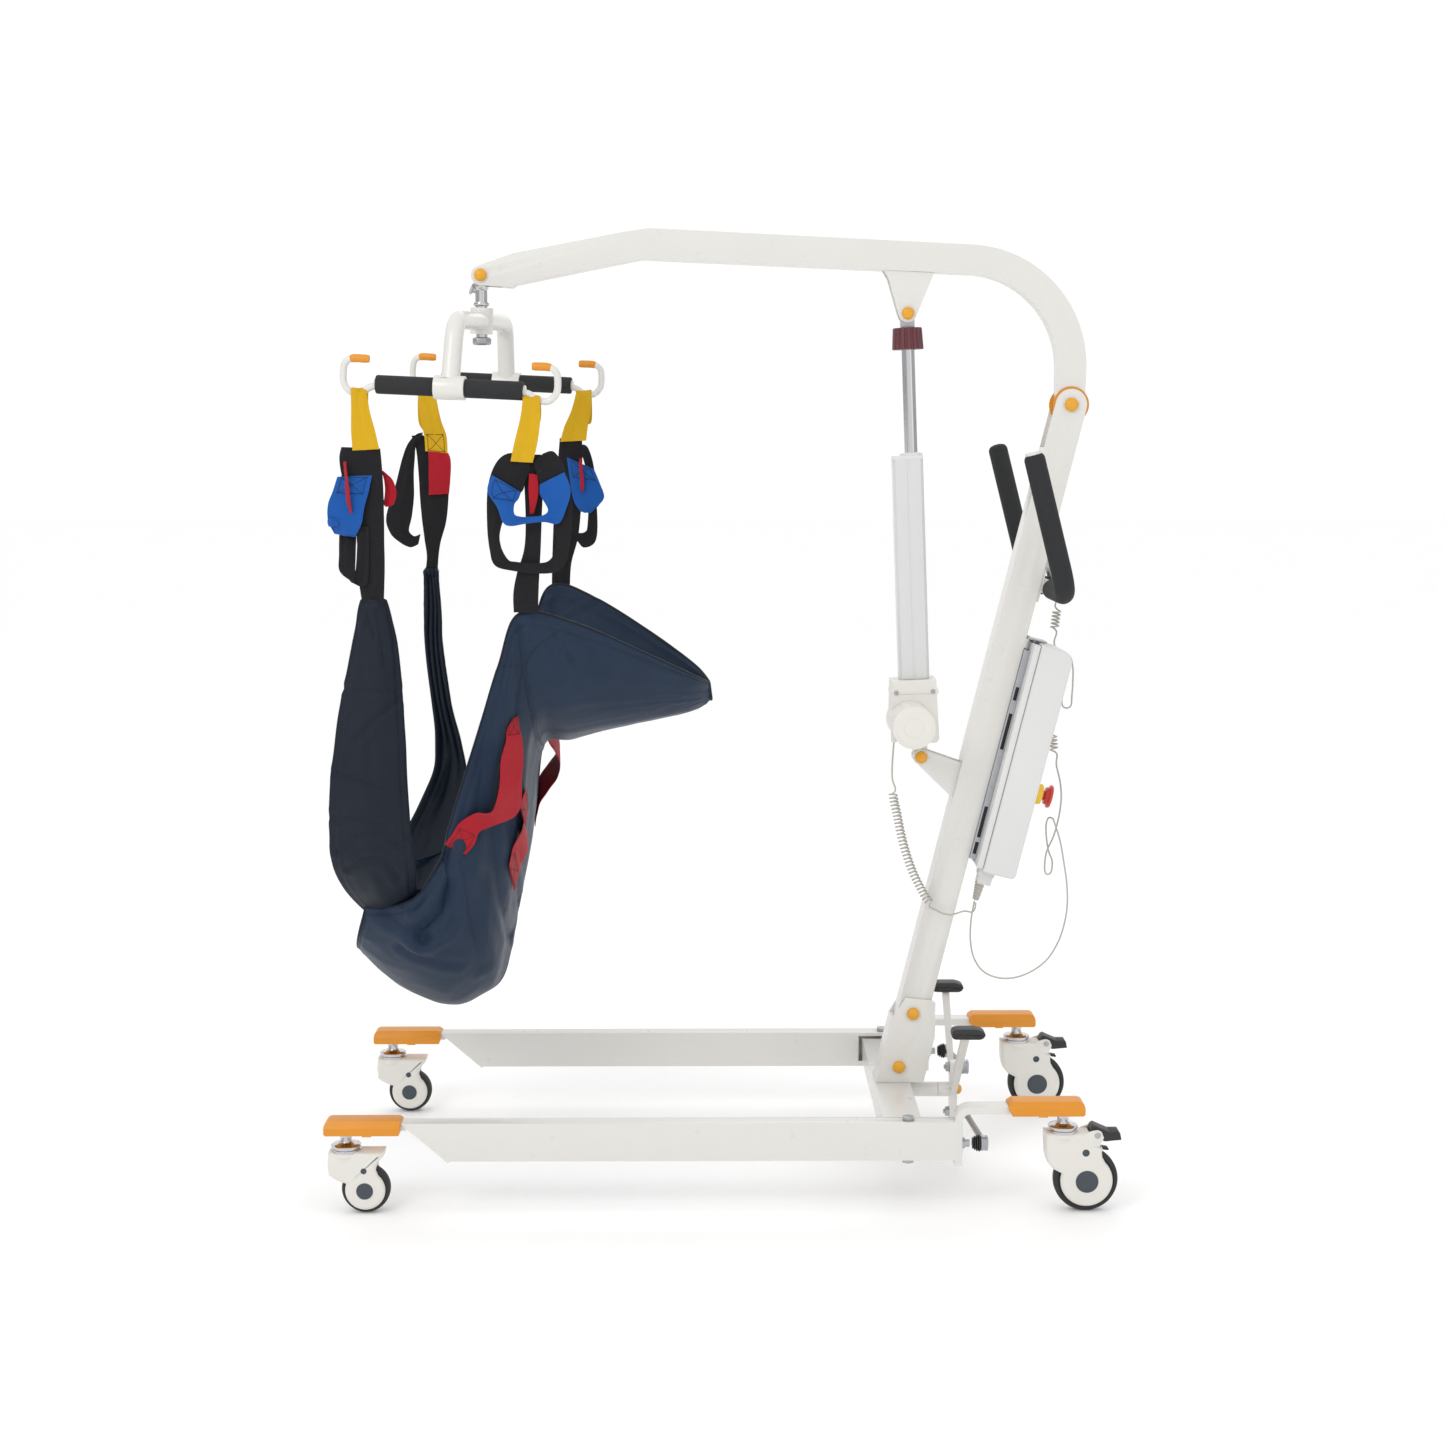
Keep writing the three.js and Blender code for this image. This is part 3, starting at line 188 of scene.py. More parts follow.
def base_material(name, color, roughness, metallic=0.0, variation=0.06, scale=9.0, grain=2200.0,
                  depth=0.00004, roughness_spread=0.08, **sockets):
    """A surface with slow colour change, patchy gloss and a fine grain in its relief."""
    material = bpy.data.materials.new(name)
    material.use_nodes = True
    tree = material.node_tree
    shader = tree.nodes["Principled BSDF"]
    shader.inputs["Metallic"].default_value = metallic
    for socket, value in sockets.items():
        shader.inputs[socket.replace("_", " ")].default_value = value
    place = add_node(tree, "ShaderNodeTexCoord")
    cloud = add_node(tree, "ShaderNodeTexNoise", {"Scale": scale, "Detail": 4.0, "Roughness": 0.55})
    wire(tree, place, "Object", cloud, "Vector")
    dark = tuple(c * (1 - variation) for c in color[:3]) + (1,)
    light = tuple(min(1.0, c * (1 + variation * 0.6)) for c in color[:3]) + (1,)
    tones = add_node(tree, "ShaderNodeMix", data_type="RGBA")
    tones.inputs["A"].default_value = dark
    tones.inputs["B"].default_value = light
    wire(tree, cloud, "Fac", tones, "Factor")
    wire(tree, tones, "Result", shader, "Base Color")
    gloss = add_node(tree, "ShaderNodeMapRange", {"To Min": max(0.02, roughness - roughness_spread),
                                                  "To Max": roughness + roughness_spread})
    smear = add_node(tree, "ShaderNodeTexNoise", {"Scale": scale * 4, "Detail": 6.0, "Roughness": 0.6})
    wire(tree, place, "Object", smear, "Vector")
    wire(tree, smear, "Fac", gloss, "Value")
    wire(tree, gloss, "Result", shader, "Roughness")
    fine = add_node(tree, "ShaderNodeTexNoise", {"Scale": grain, "Detail": 2.0})
    wire(tree, place, "Object", fine, "Vector")
    relief = add_node(tree, "ShaderNodeBump", {"Strength": 1.0, "Distance": depth})
    wire(tree, fine, "Fac", relief, "Height")
    wire(tree, relief, "Normal", shader, "Normal")
    return material


def woven_material(name, color, roughness, pitch, depth, ribs=False, sheen=0.3, variation=0.12):
    """Cloth whose threads follow the piece's own UVs, which are in metres."""
    material = base_material(name, color, roughness, variation=variation, scale=14.0, grain=3000.0,
                             Sheen_Weight=sheen * 0.25, Sheen_Roughness=0.4, Specular_IOR_Level=0.24)
    tree = material.node_tree
    shader = tree.nodes["Principled BSDF"]
    uv = add_node(tree, "ShaderNodeUVMap")
    parts = add_node(tree, "ShaderNodeSeparateXYZ")
    wire(tree, uv, "UV", parts, "Vector")
    waves = []
    for axis, width in (("X", pitch), ("Y", pitch * (0.6 if ribs else 1.0))):
        turns = add_node(tree, "ShaderNodeMath", operation="MULTIPLY")
        turns.inputs[1].default_value = 2 * math.pi / width
        wire(tree, parts, axis, turns, 0)
        wave = add_node(tree, "ShaderNodeMath", operation="SINE")
        wire(tree, turns, 0, wave, 0)
        waves.append(wave)
    weave = add_node(tree, "ShaderNodeMath", operation="MULTIPLY")
    wire(tree, waves[0], 0, weave, 0)
    wire(tree, waves[1], 0, weave, 1)
    relief = add_node(tree, "ShaderNodeBump", {"Strength": 0.8, "Distance": depth})
    wire(tree, weave, 0, relief, "Height")
    old = shader.inputs["Normal"].links[0].from_node
    wire(tree, relief, "Normal", old, "Normal")
    return material


PAINT = base_material("cream_powder_coat", srgb(219, 217, 212), 0.30, variation=0.03, grain=1400.0,
                      depth=0.000014, Coat_Weight=0.25, Coat_Roughness=0.12)
ORANGE = base_material("orange_plastic", srgb(219, 141, 26), 0.42, variation=0.08, scale=22.0, grain=2600.0,
                       depth=0.00006)
DOME = base_material("amber_cap_plastic", srgb(224, 160, 36), 0.33, variation=0.06, scale=40.0)
SHELL = base_material("cream_plastic", srgb(222, 220, 213), 0.38, variation=0.035, grain=2400.0,
                      depth=0.00006)
WHITE = base_material("white_plastic", srgb(217, 217, 216), 0.40, variation=0.025, grain=3200.0,
                      depth=0.00008)
ANODISED = base_material("white_aluminium", srgb(211, 211, 211), 0.30, variation=0.012, grain=900.0,
                         depth=0.000004, roughness_spread=0.02, Coat_Weight=0.15, Coat_Roughness=0.2)
SLATE = base_material("slate_plastic", srgb(60, 68, 76), 0.5, variation=0.1, scale=60.0)
BLACK = base_material("black_plastic", srgb(34, 35, 37), 0.48, variation=0.15, scale=40.0, depth=0.00008)
FOAM = base_material("black_foam", srgb(36, 37, 39), 0.82, variation=0.25, scale=120.0, grain=1500.0,
                     depth=0.0004)
TYRE = base_material("tyre_rubber", srgb(38, 38, 40), 0.66, variation=0.2, scale=50.0, grain=1800.0,
                     depth=0.0001)
CHROME = base_material("chrome", srgb(200, 199, 202), 0.09, 1.0, variation=0.03, scale=30.0, depth=0.000004,
                       roughness_spread=0.03)
ZINC = base_material("zinc_plate", srgb(176, 178, 182), 0.34, 1.0, variation=0.12, scale=60.0, depth=0.00003)
STEEL = base_material("bare_steel", srgb(150, 143, 136), 0.42, 1.0, variation=0.2, scale=80.0, depth=0.00004)
MAROON = base_material("maroon_plastic", srgb(98, 48, 54), 0.42, variation=0.12, scale=50.0)
RED = base_material("red_plastic", srgb(200, 50, 34), 0.3, variation=0.06, scale=30.0, Coat_Weight=0.3)
YELLOW_RING = base_material("yellow_plastic", srgb(240, 196, 40), 0.38, variation=0.05, scale=30.0)
CORD_GREY = base_material("cord_jacket", srgb(180, 177, 168), 0.46, variation=0.06, scale=60.0)
NAVY = woven_material("navy_nylon", srgb(26, 45, 68), 0.38, 0.0011, 0.00012, sheen=0.12, variation=0.2)
# The leg pieces' nylon: the body's navy made darker as painted shade.
NAVY_LEG_SHADE = woven_material("navy_leg_nylon_painted_shade", srgb(15, 26, 40), 0.46, 0.0011, 0.00012, sheen=0.08,
                          variation=0.2)
NAVY_DARK = woven_material("navy_binding", srgb(14, 24, 37), 0.55, 0.0012, 0.00018, ribs=True)
THREAD = base_material("navy_thread", srgb(13, 19, 28), 0.6, variation=0.1, scale=200.0)
WEB_YELLOW = woven_material("yellow_webbing", srgb(226, 178, 24), 0.55, 0.0016, 0.0003, ribs=True)
WEB_BLACK = woven_material("black_webbing", srgb(27, 27, 30), 0.6, 0.0016, 0.0003, ribs=True, sheen=0.12)
WEB_BLUE = woven_material("blue_webbing", srgb(20, 92, 178), 0.5, 0.0016, 0.0003, ribs=True)
WEB_RED = woven_material("red_webbing", srgb(182, 18, 38), 0.52, 0.0016, 0.0003, ribs=True)
FLOOR = base_material("pale_floor", (0.95, 0.95, 0.95, 1), 0.8, variation=0.01, scale=1.5,
                      Emission_Color=(1.0, 1.0, 1.0, 1), Emission_Strength=0.06)
# Dark stitching thread, and painted shade for the control box's seam and rail slots.
DARK_THREAD_AND_GAP_SHADE = base_material("dark_thread_and_gap_shade", srgb(24, 24, 26), 0.7, variation=0.1, scale=40.0)


# ---- Mesh tools -----------------------------------------------------------------------------------
SHARP = 38.0
BEVEL_FROM = math.radians(32)
WELD = 4e-6


def link(name, mesh, material):
    made = bpy.data.objects.new(name, mesh)
    mesh.materials.clear()
    mesh.materials.append(material)
    bpy.context.collection.objects.link(made)
    return made


def settle(obj, body, replaces=()):
    """The last step of a rigid piece: its body and the CAD nodes it stands for."""
    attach(obj, body)
    if replaces:
        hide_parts(*replaces)
    return obj


def bake(obj, angle=SHARP):
    """Applies the piece's modifiers and smooths all but its sharp edges."""
    evaluated = obj.evaluated_get(bpy.context.evaluated_depsgraph_get())
    mesh = bpy.data.meshes.new_from_object(evaluated)
    obj.modifiers.clear()
    old, obj.data = obj.data, mesh
    bpy.data.meshes.remove(old)
    mesh.shade_smooth()
    mesh.set_sharp_from_angle(angle=math.radians(angle))
    return obj


def round_edges(obj, width, segments):
    if width:
        rounding = obj.modifiers.new("rounding", "BEVEL")
        rounding.width = width * MM
        rounding.segments = segments
        rounding.limit_method = "ANGLE"
        rounding.angle_limit = BEVEL_FROM


def make(name, bm, material, place=ROW, bevel=0.0, segments=3, angle=SHARP):
    """An object from a bmesh in millimetres of the given frame."""
    bmesh.ops.transform(bm, matrix=Matrix.Scale(MM, 4) @ place, verts=bm.verts)
    bmesh.ops.recalc_face_normals(bm, faces=bm.faces)
    mesh = bpy.data.meshes.new(name)
    bm.to_mesh(mesh)
    bm.free()
    obj = link(name, mesh, material)
    round_edges(obj, bevel, segments)
    return bake(obj, angle)


def rounded_copy(node, material, body, bevel=1.2, segments=3, regions=(), drop=None):
    """A piece with the CAD node's shape and rounded edges.

    regions: (test of a face centre in mm, material). drop: a test for the faces another piece stands for.
    """
    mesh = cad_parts[node].data.copy()
    bm = bmesh.new()
    bm.from_mesh(mesh)
    bmesh.ops.remove_doubles(bm, verts=bm.verts, dist=WELD)
    bmesh.ops.dissolve_limit(bm, angle_limit=math.radians(0.7), verts=bm.verts, edges=bm.edges)
    bm.to_mesh(mesh)
    bm.free()
    for name in [layer.name for layer in mesh.uv_layers]:
        mesh.uv_layers.remove(mesh.uv_layers[name])
    obj = link(node + "_shell", mesh, material)
    round_edges(obj, bevel, segments)
    bake(obj)
    for test, other in regions:
        obj.data.materials.append(other)
        index = len(obj.data.materials) - 1
        for polygon in obj.data.polygons:
            if test(polygon.center / MM):
                polygon.material_index = index
    if drop:
        bm = bmesh.new()
        bm.from_mesh(obj.data)
        gone = [face for face in bm.faces if drop(face.calc_center_median() / MM)]
        bmesh.ops.delete(bm, geom=gone, context="FACES")
        bm.to_mesh(obj.data)
        bm.free()
    return settle(obj, body, (node,))


def carve(obj, bm, place=ROW):
    """Cuts a shape, in millimetres of the given frame, out of a piece."""
    cutter = make("cutter", bm, DARK_THREAD_AND_GAP_SHADE, place)
    hole = obj.modifiers.new("hole", "BOOLEAN")
    hole.operation = "DIFFERENCE"
    hole.solver = "EXACT"
    hole.object = cutter
    bake(obj)
    bpy.data.objects.remove(cutter)
    return obj


def bridge(bm, rings, closed=False):
    """Quads from each ring of vertices to the next."""
    for a, b in zip(rings, rings[1:] + (rings[:1] if closed else [])):
        for i in range(len(a)):
            j = (i + 1) % len(a)
            bm.faces.new((a[i], a[j], b[j], b[i]))


def lathe(bm, profile, segments=40, place=ROW, closed=False):
    """Turns [(radius, z)] round the frame's Z axis."""
    rings = []
    for r, z in profile:
        if r < 1e-6:
            rings.append([bm.verts.new(place @ Vector((0, 0, z)))])
            continue
        ring = []
        for i in range(segments):
            turn = 2 * math.pi * i / segments
            ring.append(bm.verts.new(place @ Vector((r * math.cos(turn), r * math.sin(turn), z))))
        rings.append(ring)
    pairs = list(zip(rings, rings[1:])) + ([(rings[-1], rings[0])] if closed else [])
    for a, b in pairs:
        for i in range(segments):
            j = (i + 1) % segments
            corners = [a[i % len(a)], a[j % len(a)], b[j % len(b)], b[i % len(b)]]
            unique = list(dict.fromkeys(corners))
            if len(unique) > 2:
                bm.faces.new(unique)
    return bm


def prism(bm, outline, y0, y1, place=ROW):
    """An X-Z outline given a thickness along Y."""
    front = [bm.verts.new(place @ Vector((x, y0, z))) for x, z in outline]
    back = [bm.verts.new(place @ Vector((x, y1, z))) for x, z in outline]
    bm.faces.new(front)
    bm.faces.new(back[::-1])
    for i in range(len(outline)):
        j = (i + 1) % len(outline)
        bm.faces.new((front[i], back[i], back[j], front[j]))
    return bm


def hollow_lathe(bm, profile, segments=40, place=ROW):
    """A lathe whose profile closes on itself, round a hole."""
    return lathe(bm, profile, segments, place, closed=True)


def piece(name, material, body, slot, *shapes, place=ROW, replaces=(), **finish):
    """A settled piece from shapes, each a mesh tool with its arguments."""
    bm = bmesh.new()
    for tool, *arguments in shapes:
        tool(bm, *arguments)
    return settle(make(name, bm, material, place, **finish), body, replaces)


def pillow(bm, outline, half, radius, steps=6, place=ROW):
    """A flat shape in XZ, half thick each way in Y, with its two faces' edges rounded to a radius."""
    count = len(outline)
    points = [Vector((x, 0, z)) for x, z in outline]
    area = sum(a.x * b.z - b.x * a.z for a, b in zip(points, points[1:] + points[:1]))
    inward = []
    for i, p in enumerate(points):
        a = (p - points[i - 1]).normalized()
        b = (points[(i + 1) % count] - p).normalized()
        along = (a + b).normalized()
        turn = Vector((-along.z, 0, along.x)) * (1 if area > 0 else -1)
        inward.append(turn / max(0.6, along.dot(a)))
    rings = []
    for s in (-1, 1):
        angles = [math.pi / 2 * k / steps for k in range(steps + 1)]
        for angle in (angles[::-1] if s < 0 else angles):
            inset = radius * (1 - math.cos(angle))
            y = s * (half - radius + radius * math.sin(angle))
            rings.append([bm.verts.new(place @ (p + n * inset + Vector((0, y, 0))))
                          for p, n in zip(points, inward)])
    bridge(bm, rings)
    bm.faces.new(rings[0][::-1])
    bm.faces.new(rings[-1])
    bmesh.ops.recalc_face_normals(bm, faces=bm.faces)


def rounded_outline(points, radius, steps=5):
    """A closed outline of x, z points with every corner rounded."""
    corners = [Vector((x, 0, z)) for x, z in points]
    out = []
    for i, corner in enumerate(corners):
        before, after = corners[i - 1], corners[(i + 1) % len(corners)]
        cut_in = min(radius, (before - corner).length * 0.45)
        cut_out = min(radius, (after - corner).length * 0.45)
        a = corner + (before - corner).normalized() * cut_in
        b = corner + (after - corner).normalized() * cut_out
        for k in range(steps + 1):
            t = k / steps
            p = a * (1 - t) ** 2 + corner * (2 * t * (1 - t)) + b * t * t
            out.append((p.x, p.z))
    return out


def block(bm, x0, x1, y0, y1, z0, z1):
    return prism(bm, [(x0, z0), (x1, z0), (x1, z1), (x0, z1)], y0, y1)


def arc(cx, cz, r, start, end, steps):
    """Points of an arc, angles in degrees."""
    points = []
    for i in range(steps + 1):
        turn = math.radians(start + (end - start) * i / steps)
        points.append((cx + r * math.cos(turn), cz + r * math.sin(turn)))
    return points


def flow(points, per=8):
    """A smooth line through all the points (centripetal Catmull-Rom)."""
    points = [Vector(p) for p in points]
    padded = [points[0] * 2 - points[1], *points, points[-1] * 2 - points[-2]]
    line = []
    for i in range(1, len(padded) - 2):
        p0, p1, p2, p3 = padded[i - 1:i + 3]
        t1 = max((p1 - p0).length, 1e-6) ** 0.5
        t2 = t1 + max((p2 - p1).length, 1e-6) ** 0.5
        t3 = t2 + max((p3 - p2).length, 1e-6) ** 0.5
        for k in range(per):
            t = t1 + (t2 - t1) * k / per
            a1 = p0 * ((t1 - t) / t1) + p1 * (t / t1)
            a2 = p1 * ((t2 - t) / (t2 - t1)) + p2 * ((t - t1) / (t2 - t1))
            a3 = p2 * ((t3 - t) / (t3 - t2)) + p3 * ((t - t2) / (t3 - t2))
            b1 = a1 * ((t2 - t) / t2) + a2 * (t / t2)
            b2 = a2 * ((t3 - t) / (t3 - t1)) + a3 * ((t - t1) / (t3 - t1))
            line.append(b1 * ((t2 - t) / (t2 - t1)) + b2 * ((t - t1) / (t2 - t1)))
    line.append(points[-1])
    return line


def tangents(line):
    last = len(line) - 1
    return [(line[min(i + 1, last)] - line[max(i - 1, 0)]).normalized() for i in range(last + 1)]


def frames_along(line, start=Vector((0, 0, 1))):
    """Two unit vectors across the line at each point, without twist."""
    side = start
    frames = []
    for along in tangents(line):
        side = side - along * side.dot(along)
        if side.length < 1e-4:
            side = along.orthogonal()
        side.normalize()
        frames.append((side.copy(), along.cross(side)))
    return frames


def sweep(bm, line, radius, sides=10, place=ROW):
    """A round bar along the line. radius is a number or a function of the share of the length."""
    frames = frames_along(line, Vector((0.13, 0.2, 1)))
    rings = []
    last = len(line) - 1
    for i, (point, (side, other)) in enumerate(zip(line, frames)):
        r = radius(i / last) if callable(radius) else radius
        ring = []
        for j in range(sides):
            turn = 2 * math.pi * j / sides
            spot = point + side * (r * math.cos(turn)) + other * (r * math.sin(turn))
            ring.append(bm.verts.new(place @ spot))
        rings.append(ring)
    bridge(bm, rings)
    bm.faces.new(rings[0][::-1])
    bm.faces.new(rings[-1])
    return bm


def coil(line, radius, pitch, step=1.3, easing=22.0):
    """A helix round the line, which leaves it and comes back to it in an easy bend."""
    route = flow(line, 10)
    lengths = [0.0]
    for a, b in zip(route, route[1:]):
        lengths.append(lengths[-1] + (b - a).length)
    total = lengths[-1]
    frames = frames_along(route, Vector((1, 0, 0)))
    steep = math.atan2(2 * math.pi * radius, pitch)
    last_ease = easing * math.sin(steep) / steep
    points = []
    k = 0
    gone = s = turn = 0.0
    left = easing
    while s < total and left > 0:
        while k < len(lengths) - 2 and lengths[k + 1] < s:
            k += 1
        t = (s - lengths[k]) / max(lengths[k + 1] - lengths[k], 1e-9)
        centre = route[k].lerp(route[k + 1], t)
        side = frames[k][0].lerp(frames[k + 1][0], t)
        other = frames[k][1].lerp(frames[k + 1][1], t)
        share = min(1.0, gone / easing, left / easing)
        out = radius * (0.45 + 0.55 * share * (2 - share))
        points.append(centre + side * (out * math.cos(turn)) + other * (out * math.sin(turn)))
        s += math.cos(steep * share) * step
        turn += math.sin(steep * share) * step / out
        gone += step
        if s > total - last_ease:
            left -= step
    return points


def joined(first, second, steps=6):
    """Two lines and the smooth bend between them, which leaves and arrives along their ends."""
    a, b = first[-1], second[0]
    reach = (b - a).length
    leave = (a - first[-2]).normalized() * reach
    arrive = (second[1] - b).normalized() * reach
    bend = []
    for i in range(1, steps):
        t = i / steps
        bend.append(
            a * (2 * t**3 - 3 * t**2 + 1) + leave * (t**3 - 2 * t**2 + t)
            + b * (3 * t**2 - 2 * t**3) + arrive * (t**3 - t**2)
        )
    return first + bend + second


def length_of(line):
    return sum((b - a).length for a, b in zip(line, line[1:]))


# ---- Cords --------------------------------------------------------------------------------------
# Each cord as the points of its plain runs and of the middle lines of its coiled ones.
WIRE = 2.7
COIL_RADIUS, COIL_PITCH = 6.2, 6.0
MOTOR_CORD_TOP = [
    (275.5, -45, 701.5), (274.5, -45, 690), (273.5, -45, 672), (273, -45, 661), (273, -45, 651),
]
MOTOR_CORD_COIL = [
    (273, -45, 634), (276, -45, 610), (282, -45, 583), (287, -45, 558), (293, -45, 534), (301, -45, 508),
    (310, -45, 485), (320, -44.5, 465), (330, -44, 447), (338, -43.6, 437), (347, -43.3, 428.5),
]
MOTOR_CORD_END = [
    (362, -42.5, 419.5), (371, -41, 418), (382, -38, 420), (392, -33, 422), (400, -27, 420.5),
    (406.5, -19.5, 417.5), (411.5, -12.8, 418.2), (414.6, -8.6, 422.8), (415.6, -6.6, 431),
]
HANDSET_CORD_LOWER = [
    (414.8, 4.5, 431), (413, 6, 420), (411, 8, 405), (409.5, 9, 385), (410, 10, 362), (416, 10, 334),
    (431, 10, 312), (454, 10, 301), (480, 10, 300), (507, 9, 309), (534, 7, 329), (552, 4, 358),
    (562, 0, 390), (566, -6, 425), (564, -10, 462), (558, -12, 499), (551, -12, 535), (543, -8.5, 561),
    (539.8, -4.8, 569.8), (534.4, 2, 570.2), (531.3, 7, 561), (532, 11, 540), (537, 14, 512),
    (543, 15, 497), (543, 15, 483), (541, 13.4, 476.8), (536.2, 9.5, 474.3), (531.5, 5.6, 476.8),
    (529.5, 4, 483), (529.5, 3.7, 497), (532, 3, 514), (543, 3, 540), (552, 6, 575), (556, 14, 602),
    (556, 30, 626), (553, 46, 646),
]
HANDSET_CORD_COIL_1 = [(551, 54.8, 658.8), (549.5, 58, 675), (548, 61.5, 693), (546.5, 64, 711)]
HANDSET_CORD_MIDDLE = [
    (547, 65, 730), (549, 66, 755), (553, 67, 785), (558, 68.5, 812), (566, 70, 829), (575, 71, 828),
    (580, 72, 812), (581, 73, 785), (580, 74, 762), (579.6, 75, 749), (577.5, 75.3, 744), (572, 76, 742),
    (566.5, 76.7, 744), (564.4, 77, 749), (564.4, 77, 762), (565, 77, 784), (563, 77, 808), (557, 76, 832),
    (550, 75.3, 847),
]
HANDSET_CORD_COIL_2 = [(548, 75, 860), (549.5, 75, 878), (552, 75, 900), (554.2, 75, 919)]
HANDSET_CORD_TOP = [(556, 75, 933), (556.6, 75, 938)]


def add_cord(name, line, replaces):
    bm = bmesh.new()
    sweep(bm, line, WIRE / 2, 8)
    cord = make(name, bm, CORD_GREY, angle=60)
    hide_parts(*replaces)
    return cord


def add_cords():
    motor_line = joined(flow(MOTOR_CORD_TOP, 5), coil(MOTOR_CORD_COIL, COIL_RADIUS, COIL_PITCH))
    motor_line = joined(motor_line, flow(MOTOR_CORD_END, 5))
    motor = add_cord("motor_cord", motor_line,
                     ("actuator_cord_upper", "actuator_cord_curl", "actuator_cord_lower"))
    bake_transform(motor)
    handset_line = flow(HANDSET_CORD_LOWER, 5)
    for route, points in (
        (HANDSET_CORD_COIL_1, HANDSET_CORD_MIDDLE), (HANDSET_CORD_COIL_2, HANDSET_CORD_TOP),
    ):
        handset_line = joined(handset_line, coil(route, COIL_RADIUS, COIL_PITCH))
        handset_line = joined(handset_line, flow(points, 5))
    handset = add_cord("handset_cord", handset_line,
                       ("handset_cord_lower", "handset_cord_lower_curl", "handset_cord_middle",
                        "handset_cord_upper_curl"))
    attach(handset, "chassis")


# ---- Steel frame ----------------------------------------------------------------------------------
def add_frame():
    for node, body, width in (
        ("crossbeam", "chassis", 1.5), ("mast_foot_bracket", "chassis", 1.2), ("mast_tube", "chassis", 2.2),
        ("push_handle", "chassis", 0.8), ("boom", "boom", 2.4), ("cradle_yoke", "cradle", 1.2),
    ):
        rounded_copy(node, PAINT, body, width)
    for side, _ in SIDES:
        leg = f"{side}_leg"
        rounded_copy(leg, PAINT, leg, 2.0,
                     regions=[(lambda c: c.x > 366.5 and c.z < 118 and c.x < 381, ZINC)])
        rounded_copy(f"{side}_leg_pivot_bolt", ZINC, leg, 0.8)
        for end in ("front", "rear"):
            rounded_copy(f"{side}_{end}_cap", ORANGE, leg, 3.2, 4)


# ---- Bolts with amber caps ------------------------------------------------------------------------
def facing(x, y, z, s, place=ROW):
    """A frame at a point whose Z axis looks along the s side of Y."""
    return place @ at(x, y, z) @ Matrix.Rotation(math.radians(-90 * s), 4, "X")


def looking_rear(x, y, z, place=ROW):
    """A frame at a point whose Z axis looks along +X."""
    return place @ at(x, y, z) @ Matrix.Rotation(math.radians(90), 4, "Y")


def add_capped_bolts():
    bolts = (
        ("mast_foot_bolt_lower", "chassis", 290, 161, 30.8, 10.5),
        ("mast_foot_bolt_upper", "chassis", 312.5, 250.5, 30.8, 10.5),
        ("mast_pivot_bolt", "chassis", MAST_PIVOT.x, MAST_PIVOT.z, 25.4, 11),
        ("actuator_base_pin", "chassis", PIN_BASE.x, PIN_BASE.z, 18.4, 10),
        ("boom_tip_bolt", "boom", BOOM_TIP.x, BOOM_TIP.z, 20.4, 10),
        ("actuator_top_pin", "boom", PIN_TOP.x, PIN_TOP.z, 18.4, 10),
    )
    for node, body, x, z, face, r in bolts:
        domes = bmesh.new()
        washers = bmesh.new()
        for s in (-1, 1):
            place = facing(x, s * face, z, s)
            turns = [k * math.pi / 16 for k in range(8)]
            rounding = [(r * math.cos(turn), 2.2 + 6.2 * math.sin(turn)) for turn in turns]
            lathe(domes, [(0, 0.9), (r, 0.9)] + rounding + [(0, 8.4)], 36, place)
            lathe(washers, [(0, 0), (r + 1.6, 0), (r + 1.9, 0.3), (r + 1.6, 0.9), (0, 0.9)], 36, place)
        lathe(washers, [(0, -face - 1), (5, -face - 1), (5, face + 1), (0, face + 1)], 20, facing(x, 0, z, 1))
        settle(make(node + "_caps", domes, DOME), body, (node,))
        settle(make(node + "_washers", washers, PAINT), body)
    piece("mast_pivot_discs", ORANGE, "boom", "orange_plastic",
          *[(hollow_lathe, [(8.6, 20.25), (28.2, 20.25), (28.6, 20.7), (28.6, 21.6), (28.2, 22.0),
              (8.6, 22.0)], 56, facing(MAST_PIVOT.x, 0, MAST_PIVOT.z, s)) for s in (-1, 1)])


# ---- Casters ----------------------------------------------------------------------------------------
FRONT_COVER = (
    [(-55, 61), (-57, 42), (-55.5, 24), (-46, 17.5), (-34, 12)] + arc(0, 0, 31, 160, 409, 26)
    + [(17, 32), (18, 38), (19.5, 43), (24, 49), (29, 54), (30, 61)]
)
REAR_COVER = (
    [(-65, 76), (-63.5, 41), (-61, 30), (-53, 19.5)] + arc(0, 0, 40.5, 163, 405, 28)
    + [(24, 37), (23, 44), (24, 51), (19, 55), (12, 58), (5, 62), (3, 68), (3, 76)]
)


